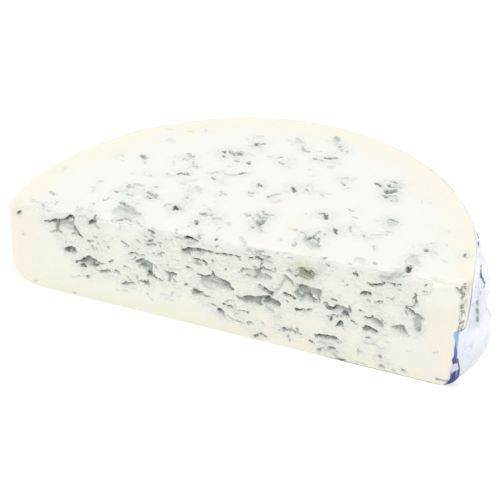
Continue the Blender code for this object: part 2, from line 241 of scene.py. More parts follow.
# The veins are ragged strokes, dark where they are open and deep: partly the mould's own colour and partly
# painted shade of the openings. Each is how dark it is, its width at both ends, and the points it runs
# through, in mm: across and up the front, or across and back over the top.
frontVeins = [
    (.75, 1.6, 1.4, -93.8, 36.8, -92.8, 38.2), (.4, 1.2, 1.1, -92.8, 26.3, -92.3, 26.7),
    (.92, .6, 1.8, -80.5, 35.9, -76, 37), (.95, 1.6, 2.4, -76, 37, -71, 39.2, -68.3, 41),
    (.82, 3.2, 1.6, -75.6, 36.6, -75, 33.6), (.5, 4, 4.2, -72.5, 36.6, -68.8, 36.6),
    (.75, 1.2, 1, -68, 41.5, -67.3, 36), (1, 2.6, .7, -67.4, 35.3, -65.8, 33.4, -64, 32.2),
    (.55, 1.6, 1.6, -68.2, 33, -66.5, 32.8), (.75, .8, 1.2, -78.8, 31, -75.6, 32.7, -73.8, 32),
    (.95, 2, 2.2, -60, 40.3, -58, 41.6), (.95, 1.8, 1.2, -58, 41.6, -57, 44),
    (.35, 1.6, 1, -61.5, 42.8, -60, 40.6), (.4, 1.6, 1.4, -57.6, 40, -55.6, 38.6),
    (.3, 1.6, 1, -65.5, 43.5, -62, 43.4), (.6, 1.2, .8, -60.9, 30.8, -58.4, 31.8),
    (.5, 1.2, 1, -57, 31.6, -55.7, 30.2), (.45, 1.6, 1, -60, 29, -58.4, 26.6),
    (.4, .8, .8, -62.5, 26.7, -60, 27.2), (.4, .9, .9, -57.6, 28, -57.4, 27),
    (.45, .8, .8, -58.6, 34, -56.5, 34.1), (1, 1.6, 3.2, -72.2, 23.4, -68.8, 24.3),
    (.8, .6, .5, -70.4, 25.3, -67.2, 25.8), (.45, .8, .8, -67, 25, -66.7, 24),
    (.85, .8, 1.2, -67.6, 18.7, -65, 19.4), (1, 2.6, 4.2, -64.8, 19.3, -61.2, 20.6),
    (.95, 1.5, 1.6, -65.4, 17.3, -64, 17.2), (.8, 1, 1.1, -61.6, 22.4, -58, 21.4),
    (.7, 2, 1.6, -62, 18.6, -59.6, 18.6), (1, 1.5, 1.2, -59.4, 18.7, -57.5, 19.7),
    (.65, .9, .7, -57.6, 21.1, -54.6, 20.7), (.5, .7, .7, -59.2, 17, -57, 15.8),
    (.8, 1.1, 1.4, -56.7, 15.8, -53.6, 17), (.7, 1.3, .9, -53.4, 18, -51.6, 17.9),
    (.55, .6, .6, -51.6, 17.8, -45, 17.4), (.65, 1.6, 1.3, -48.8, 18.6, -48, 18.4),
    (.35, .6, .6, -55, 14.7, -49.8, 15.1), (.75, 1.2, 1.1, -63.2, 11.8, -61.6, 12.5),
    (.3, .8, .7, -71, 9.8, -66, 11.3), (.45, 1.2, .8, -72, 27.6, -71.5, 28),
    (.35, .8, .7, -69.6, 28, -68.6, 28.2), (.28, 1, .8, -75.8, 28.2, -74, 28.8),
    (.4, 1, .8, -53.9, 32.6, -53.5, 32.2), (.5, .8, .8, -52, 30.3, -51.7, 28.4),
    (.5, 1, .8, -49.8, 35.4, -49, 35.7), (.65, 1.2, 1, -51.6, 22.6, -50, 24),
    (.4, 1, .8, -70, 1.5, -69.3, 2.2), (.3, 1.6, 1, -89.4, 2.5, -88.4, 2.7),
    (.3, 1, .8, -49.2, 8.4, -44, 9.1), (.45, .7, .6, -46.6, 44, -46, 40.3),
    (.5, 1.2, 1, -44.6, 21.8, -42.2, 21.2), (.35, .8, .7, -41, 21, -40, 21.1),
    (.7, .7, .9, -45.2, 34.9, -43.6, 34.2, -42.4, 32.7), (.45, .8, .7, -40.2, 32, -37.8, 33),
    (.6, 1.2, 1.3, -32.7, 43.2, -30.8, 43), (.5, 1, .9, -34.7, 40.3, -33.4, 40.3),
    (.55, 1.4, 1.1, -31.2, 41.2, -30, 40), (.75, .7, 1.1, -34.6, 37.8, -31, 38.6),
    (.95, 1.1, 1.2, -34.4, 36.3, -30, 36.9), (.5, 1, .9, -29.2, 38, -26.8, 38),
    (.7, .9, .8, -27.7, 37.1, -27.3, 36), (.45, 1.2, 1, -38.6, 37, -37, 35.7),
    (.4, .8, .7, -25.2, 41, -24.6, 41), (.6, .9, .8, -23, 41, -22.6, 41.5),
    (.5, .9, .8, -31.3, 32.5, -30.7, 32.4), (.6, .9, .8, -30.2, 31, -26.4, 32.2),
    (.6, .8, .8, -28.8, 32.9, -26.3, 33.7), (.35, .7, .6, -22, 35.6, -21.5, 36),
    (.5, .8, .8, -22.7, 31.5, -20.2, 31.5), (.85, 1.3, 1, -42, 29.5, -39, 29.9),
    (.65, .9, 1.1, -38.8, 29.4, -35.2, 29.7), (.75, .6, .9, -41.9, 26.2, -39.3, 28.1),
    (.85, .9, 2.2, -39, 26.4, -36, 27), (.9, 3.2, 3, -36, 26.6, -33.6, 26.2),
    (.78, 2.2, 2.4, -37.3, 24, -35.4, 24), (.68, 2.6, 2, -33.6, 25.5, -32.7, 22),
    (1, 2.4, 1.5, -33.6, 21, -30.4, 19.7), (.85, 1, .7, -30.4, 19.8, -27.3, 19),
    (.5, 1, .9, -30.9, 26.6, -30, 25), (.65, .9, .8, -28.2, 27, -27.7, 27),
    (.6, 1, .8, -24.9, 28.1, -24.3, 28.3), (.5, .8, .7, -24, 26.6, -19.2, 26.6),
    (.6, .9, .9, -26.7, 24.7, -25.6, 24.2), (.88, 1.7, 1.7, -25.2, 23.9, -22, 24.4),
    (.68, 1.7, 1.3, -24, 23, -24.3, 20.4), (.62, 1.2, .8, -22.8, 22.6, -21, 20.5),
    (.5, 1.2, 1, -22.2, 18.8, -21.4, 18.8), (.8, 1.1, 1, -17.1, 20.2, -16.7, 20.6),
    (.5, 1.3, 1, -39.2, 18.5, -38.6, 15), (.72, 1, 1.5, -37.2, 16.5, -34, 16.4),
    (.6, 1, .8, -34, 17.8, -34.2, 15), (.75, 1.2, 1.7, -46.2, 11.8, -44.4, 13.5),
    (.75, 1.4, 1, -44.4, 13.6, -40.5, 13.9), (.5, 1.2, 1, -43.6, 16.2, -42, 14.6),
    (.4, 1.1, .9, -23, 14, -24.1, 12.8), (.28, .9, .7, -28.6, 12, -26, 12),
    (.4, .9, .7, -25.8, 10, -22, 10.6), (.3, .9, .7, -20, 13.2, -19.3, 13.8),
    (.32, .8, .6, -35.2, 10.2, -33, 7.5), (.6, 1, .9, -20.2, 43.3, -17.2, 43),
    (1, 2.2, 1.8, -16.3, 44.4, -13.9, 44.5), (.55, 1.8, 1.6, -12.6, 44, -11.4, 43.7),
    (.35, 3, 2.6, -14.5, 41.8, -13, 42.4), (.75, .8, .8, -18.4, 39.6, -17.8, 37.9),
    (1, 2.2, 2.8, -17.2, 37, -14.8, 37.8), (.6, .9, .8, -17, 35.8, -14.6, 36),
    (.85, 1.9, 1.4, -14.8, 38.6, -9, 39.4), (.75, 1.3, .9, -9, 39.4, -4, 40, 1, 39.8),
    (.75, .9, .7, 1, 39.8, 7.3, 40.6), (.75, 1.2, 1.1, 6.4, 39.8, 7.6, 39.2),
    (.5, 1, 1.3, -12.4, 36.6, -8, 38.5), (.6, 1.2, .9, -8.4, 39.8, -5.8, 39),
    (.72, 1, 1.2, -13.7, 34.3, -10.4, 34), (.88, 1.1, 1.2, -9, 34.2, -7.3, 33.6),
    (.5, 1.5, 2.2, -13.2, 32.4, -10, 32.1), (.3, .8, .8, -15.6, 31.7, -14.4, 32),
    (.58, 1, .9, -5, 36, -3.8, 35.4), (.4, .8, .7, -4.1, 34.7, -3.9, 33.9),
    (.65, .9, .8, -6.1, 32, -5.7, 30.7), (.72, 1.3, 1.1, -15.5, 29, -14.1, 28.6),
    (.92, .6, 1.3, -12.3, 26.8, -8, 26.7), (.95, 1.5, 2.8, -8, 26.4, -3.5, 27),
    (.95, 1, 2.2, -4.6, 29.8, -3.7, 27.4), (.92, 2.4, 3, -3.5, 27.2, 1.6, 24.8),
    (1, 2.6, 1.1, 1, 24.1, 4.3, 23.5), (.5, 2.6, 4.2, -9.3, 24.8, -1.5, 24),
    (.65, 1.4, 1.2, -9.6, 23.8, -9, 23.4), (.36, 2, 1.4, -8.4, 21.8, -4, 20.9),
    (1, 2.7, 2.1, -12.8, 17.3, -9.6, 17.5), (.7, 1, .9, -8.5, 16.7, -6.5, 16.5),
    (.45, 1.2, 1, -12.6, 19.4, -11.4, 19.4), (.5, .7, .7, -11, 14.6, -8.4, 12.7),
    (.6, .8, .8, -8.1, 11.9, -6, 13.3, -3, 13), (.72, .9, 1.2, -3, 12.8, -1.4, 11.2),
    (1, 2, 1.8, -2, 10.6, -1.1, 10.4), (.55, 1.8, 1, -1.1, 9.8, .9, 7.4),
    (.35, 1.3, 1, -7.4, 11.8, -5.4, 10.4), (.42, .8, .7, -1.3, 8, -1.4, 6.4),
    (.62, .8, .9, 1, 16.4, 3.4, 17.4, 5, 17.3), (.82, 1.7, 1.4, .5, 14.4, 3.6, 13.8),
    (.35, .7, .6, -14.6, 23.4, -13.3, 25), (.5, .9, .8, -2.8, 43.2, -2.2, 43.9),
    (.65, 1.3, 1.2, 1.1, 32.4, 1.6, 32.9), (.3, .7, .7, 2.7, 32.2, 3, 32.5),
    (.5, .9, .8, 2.1, 35.8, 2.6, 36.2), (.38, .7, .6, 11.9, 28.1, 10.9, 26.9),
    (.42, 1.1, .9, 11, 45.3, 13, 45), (.5, 1.2, .7, 14.8, 44.9, 17.6, 45.9),
    (.4, 1.5, 1.1, 15.8, 43.8, 18.6, 44), (.92, 1.3, 1.2, 11.2, 40.8, 12.6, 41.5),
    (.92, 1.2, 1.7, 14, 41.7, 17.2, 41), (.68, 1, .8, 18.4, 42.8, 20.8, 43.8),
    (.4, 2.6, 1.4, 18.8, 41.5, 21.2, 41), (.82, 1, .9, 16.5, 39.7, 16.2, 37.8),
    (.5, .9, .8, 12.8, 37.2, 15.6, 37.5), (.8, .8, .8, 9, 35, 14.6, 35.2),
    (.92, .9, 1.4, 14.8, 35.8, 17.7, 37.3), (.62, 2.2, .9, 17.6, 37.6, 22.6, 37),
    (.6, 1, .9, 8.4, 34, 6.8, 32.8), (.6, 4.4, 2.2, 16, 33.6, 20.2, 34), (.72, 1.1, 1, 10, 31.9, 14, 32),
    (.78, .8, .8, 14, 31.8, 18.2, 31.9), (.3, 2.4, 2.2, 11, 33.6, 13.4, 33.6),
    (.5, .9, .9, 8.9, 30.5, 9.6, 30.7), (.55, 1.3, 1, 22.2, 38.6, 22.5, 37),
    (.4, .9, .8, 23.1, 46.1, 23.7, 46.5), (.62, .9, .8, 27.2, 45.8, 29.2, 45.6),
    (.72, .8, 1.1, 28.2, 40.6, 28.4, 38.7), (.55, 1.1, .9, 27.5, 39, 29.6, 38.6),
    (.58, 1.2, .9, 31.5, 43.6, 32, 43.9), (.8, .7, .9, 31, 40.1, 32.6, 41.2, 34.2, 41.5),
    (.92, .9, 1.3, 34.2, 41.4, 35.5, 40.8, 36.6, 40.2), (.85, .8, .7, 36.8, 40.4, 38, 41.7),
    (.8, .9, .6, 38, 41.4, 40.1, 40.3), (.7, .7, .9, 31, 37.4, 32.2, 38.7, 33.9, 37.9),
    (.88, .8, 1, 33.6, 38.2, 34.7, 37.6, 36.4, 37.3),
    (.75, .9, .8, 36.4, 37.3, 37.7, 38.2, 38.7, 39.4, 38.8, 41.2), (.45, 2.2, 2.6, 33, 39.8, 37.6, 39.2),
    (.7, .8, .7, 31, 37.2, 31.3, 36.8), (.5, .7, .6, 35.3, 37, 35.8, 36.4),
    (.62, 1.7, 1.9, 26.4, 36, 29.6, 34), (.62, 1.3, 1.2, 29, 33.5, 31.2, 32),
    (.5, 1.7, 1, 26.6, 35, 24.8, 31), (.45, 1, 1.3, 25, 30.5, 22.4, 27.8),
    (.92, 1.7, 2.2, 32.8, 33, 36.6, 32.9), (.78, 4.2, 3, 36.6, 31.6, 40.6, 31.5),
    (.88, 3, 3.6, 33.2, 31, 36, 31), (.65, 2, 3, 31.5, 29, 34.2, 27.2), (.72, 3.2, 1.8, 36, 28.3, 40, 27.5),
    (.98, 1.4, 1.4, 38.5, 27.3, 39.9, 27.3), (.8, 1.2, .9, 40.4, 30.2, 41.7, 28.4),
    (.7, .9, .7, 41.2, 32.7, 41, 31), (.98, 1.9, 1.4, 27, 27, 30.9, 25.8),
    (.6, 1, .8, 27.4, 24.1, 28.6, 23.4), (.36, .7, .6, 29.2, 22.1, 29.9, 21),
    (.62, .8, .8, 42, 27.6, 41.8, 26.8), (.42, .9, .8, 41.2, 25.2, 41.8, 25.2),
    (.4, .6, .6, 42.4, 30.2, 44.6, 30.2), (.95, 1.5, 1.7, 32, 20.7, 35, 21),
    (.78, 1.3, 1.4, 35, 21.2, 37.8, 22.6), (.92, 1.7, 2, 16, 28.3, 18, 27.1),
    (1, 2, 1.9, 18, 27, 21.2, 25.8), (.6, 1, .7, 21, 26, 23.6, 27), (.6, .8, .7, 20.9, 28.9, 21.1, 28.4),
    (.55, 1.7, 1.3, 6.4, 20, 10, 19.7), (.95, 2.4, 3.6, 10, 20.4, 15, 20.8),
    (.75, 2.6, 2, 15, 21.2, 19.2, 23), (1, 2.8, 2.6, 18.8, 21, 23.6, 21.3),
    (.6, 1.6, 1.7, 20, 24, 22, 22.4), (.75, 1.3, 1.3, 10, 19.2, 17, 19), (.42, 2.4, 1.7, 20, 18.5, 22, 17),
    (.62, 1, 1.1, 22.4, 14.2, 25.2, 14.7), (.4, .7, .6, 24.9, 16.6, 24.8, 15),
    (.48, .7, .7, 22.9, 11, 24.9, 11), (.58, .9, .8, 6.4, 13, 8.6, 13.2),
    (.5, 1.1, .9, 5.7, 11.4, 6.5, 11.4), (.68, .9, 1.1, 9, 13, 10.9, 13.4), (.36, 1.3, 1, 5, 15.4, 5, 10),
    (.5, 1.4, .9, 1.5, 9.5, 4.5, 7.6, 9, 6.9), (.4, .7, .7, 9, 10, 9, 8.4),
    (.75, 1.4, 1.1, 11.3, 8.1, 12.6, 8.6), (.4, .7, .6, 14, 9.8, 16, 10.7, 18, 8.2),
    (.75, 1.3, 1.1, 13.8, 2, 14.8, 2.5), (.62, .9, 1.3, 15, 3, 17, 4, 18.7, 3),
    (.75, 1.7, 1.3, 26, 8.5, 29.6, 9.4), (.6, .9, .7, 30, 12, 30.4, 10.4),
    (.62, .9, .8, 30.9, 10, 32.4, 9.4), (.72, .9, .9, 32.7, 10.7, 31.9, 8.4),
    (.5, .9, .8, 32.5, 9, 34.1, 8), (.58, 1.5, .9, 28.4, 6.4, 29.3, 3.1), (.6, 1, .9, 23.7, 7.7, 24.4, 7.8),
    (.4, .9, .8, 43.8, 13.5, 44.2, 14), (.78, 1.1, 1, 46.4, 30, 48.4, 29.8),
    (.85, 1.5, 1.2, 44.3, 27.2, 44.8, 26.6), (.98, 1, 1.7, 44.8, 25.3, 48.9, 26),
    (.72, 2.8, 2.2, 49.4, 26.6, 53.8, 26), (.88, 1.9, 1.6, 51.8, 24.4, 53.9, 23.6),
    (.8, 1.1, 1, 54.2, 28.2, 54.6, 26.6), (.88, 1.3, 1.1, 48, 22, 51.9, 22.6),
    (.95, 1.1, 1.1, 46.8, 21.9, 46.5, 19.3), (.7, 1, .9, 45, 21.5, 45.7, 21.5),
    (.32, 1.6, 1.2, 47.4, 24, 49.6, 23.8), (1, 1.9, 2.2, 49.3, 17.8, 50.8, 19),
    (.52, 1.7, 1, 51.4, 18.6, 52, 16.8), (1, 2, 2.5, 41.4, 9.6, 48.6, 10.3),
    (.62, .8, .8, 48.4, 11.5, 50.2, 10.7), (.72, 1, 1.1, 50.3, 9.1, 51.6, 9.7),
    (.42, 1.5, 1.1, 42, 7, 48, 7.7), (.88, 1.7, 2, 46.4, 4.8, 48, 5.1), (.58, 1.7, 1, 42, 2.8, 44.2, 4.7),
    (.46, 1.6, 1.2, 44.4, 6, 46.2, 6.6), (.6, 1.5, 1, 48, 2.5, 51, 1.2), (.62, 1.1, .9, 50, .8, 53.6, .8),
    (.3, 3.4, 2.6, 45, 3.4, 49.4, 4), (.78, 1.4, 1.2, 38.4, 6, 39.2, 5.6),
    (.48, .9, .8, 43.4, 47.4, 44, 46), (.6, 1, .8, 44.5, 46.4, 44.8, 45.9),
    (.55, .9, .7, 46.4, 43.9, 47, 44.3), (.4, .8, .8, 41.4, 42.4, 42, 42.6),
    (.42, .8, .8, 44.1, 42.2, 44.6, 41.8), (.32, .7, .7, 42.2, 44.4, 43, 45.1),
    (.4, .7, .7, 50.8, 40.2, 51.3, 40.5), (.78, .9, .9, 52.6, 38.1, 53.1, 38.3),
    (.35, .8, .8, 45.7, 34.3, 46.5, 34), (.36, .9, .8, 49.5, 32.5, 49.8, 31.5),
    (.72, 1, .9, 55.4, 21.8, 56.1, 21.2), (.48, .6, .6, 56.8, 20.3, 58.2, 20.9),
    (.85, 1.1, 1.2, 55.3, 44.9, 56.9, 44.6), (.7, .5, .7, 56.2, 46.4, 56.3, 45),
    (1, 1.8, 2.1, 59, 36.4, 61.9, 36.8), (.6, .6, .7, 59.1, 37.9, 62, 38.4),
    (.5, 1.5, .8, 61.4, 33.9, 62, 32.8), (.62, 1.8, 1.3, 64.8, 33.5, 67, 33.9),
    (.5, 1, .5, 66.4, 33, 64.7, 31.4), (.5, .6, .5, 64, 31, 62.7, 30.5), (.3, .8, .7, 64, 38, 66.6, 38),
    (.68, 1, 1.1, 58.3, 27.8, 60.8, 27.9), (.92, 1, 2.6, 60.4, 25.1, 64.6, 24.8),
    (.82, 1, .9, 63.5, 27, 63.8, 26.2), (.72, 1.1, .7, 65, 24.9, 69, 24.6),
    (.62, 3.2, 2, 65.4, 24, 67.4, 22.4), (.6, .8, .7, 67.8, 26.6, 68.3, 25),
    (.36, .5, .5, 69.2, 25.2, 73, 25), (1, 2.6, 2.2, 61.4, 19.6, 64.8, 19.2),
    (.8, 1, .9, 61.5, 14.8, 63.1, 15.4), (.26, 2.2, 1.6, 61.2, 12.4, 65, 12.6),
    (.46, .9, .8, 65, 12.4, 69, 11), (.5, 1.1, .9, 68.2, 10, 68.9, 9.7),
    (.62, 1.4, 1.1, 67.5, 7.3, 68, 6.7), (.46, .9, .8, 68.2, 5.4, 68.8, 5.1),
    (.56, 1.6, 1.3, 68.3, 2.6, 69.1, 2.3), (.36, .7, .6, 70, 3.8, 72, 4.3), (.5, 1, .8, 58.5, 8.2, 58.7, 6),
    (.5, .9, .9, 59, 7.3, 61.9, 7.1), (.4, 1.3, 1.1, 73.5, 2, 74, 1.6),
    (.56, 1.3, 1.1, 77.5, 3.1, 78.2, 2.8), (.4, .5, .5, 54.4, 3.2, 57.5, 2.4, 62, 1),
    (.95, .9, 1.5, 72.2, 23, 75.8, 24.6), (.68, 2.8, 2.6, 74.2, 23.4, 76.8, 22.4),
    (.62, .9, 1.1, 76.6, 24.1, 78.4, 20.9), (.82, 1, 1.1, 80.5, 41.3, 80.8, 38),
    (.78, 1.1, .9, 80.6, 38, 80.2, 36), (.6, .8, 1, 76.9, 35.2, 80, 36),
    (.88, 1.7, 1.8, 77.4, 34, 79.5, 33), (.7, 1, .8, 77, 32.2, 77.6, 31),
    (.78, 2.2, 2.6, 81.1, 31.9, 83.1, 31), (.56, 3.2, 2.6, 81.6, 30.2, 82.3, 26),
    (.82, 1.7, 1, 82.3, 25.5, 83.1, 23.8), (.6, .8, .9, 79.4, 29.3, 81, 29.5),
    (.5, .8, 1, 68.9, 36.6, 71, 36.3), (.4, .7, .6, 71, 37, 72.6, 38.4),
    (.88, .8, 1.1, 60.9, 42.3, 64.6, 41.8), (1, 1.7, .9, 64.5, 41.9, 67.5, 43.5),
    (.82, .7, .9, 66.4, 44.3, 70, 44.4), (1, .9, 1.1, 70, 44.4, 73.9, 43.9),
    (.5, 1.1, .8, 71, 43, 74.1, 42.2), (.36, 2.6, 2.2, 66, 46, 72, 46.4), (.32, 2, 1.8, 70, 47.4, 74, 49),
    (.65, 1.1, .7, 82.9, 43.5, 86, 44.3), (.6, .9, .8, 83.8, 46.9, 84.3, 47.2),
    (.36, .8, .8, 89.4, 15.4, 91.1, 16.6), (.3, .7, .6, 79, 13.3, 81.6, 14.6),
    (.4, .9, .8, 70.2, 15.3, 70.9, 15.2), (.26, .6, .6, 67.8, 18.2, 70.2, 19.1),
    (.5, .8, 1, 91.4, 2.7, 96, 3.1), (.5, 1.4, 1.8, 95.6, 48.9, 97.2, 47.4),
    (.75, .6, .8, 97.4, 49, 100.4, 47.2), (.7, .8, 1, 66, 45.2, 69.6, 47.2, 73.2, 48.4, 75.4, 49.8),
]
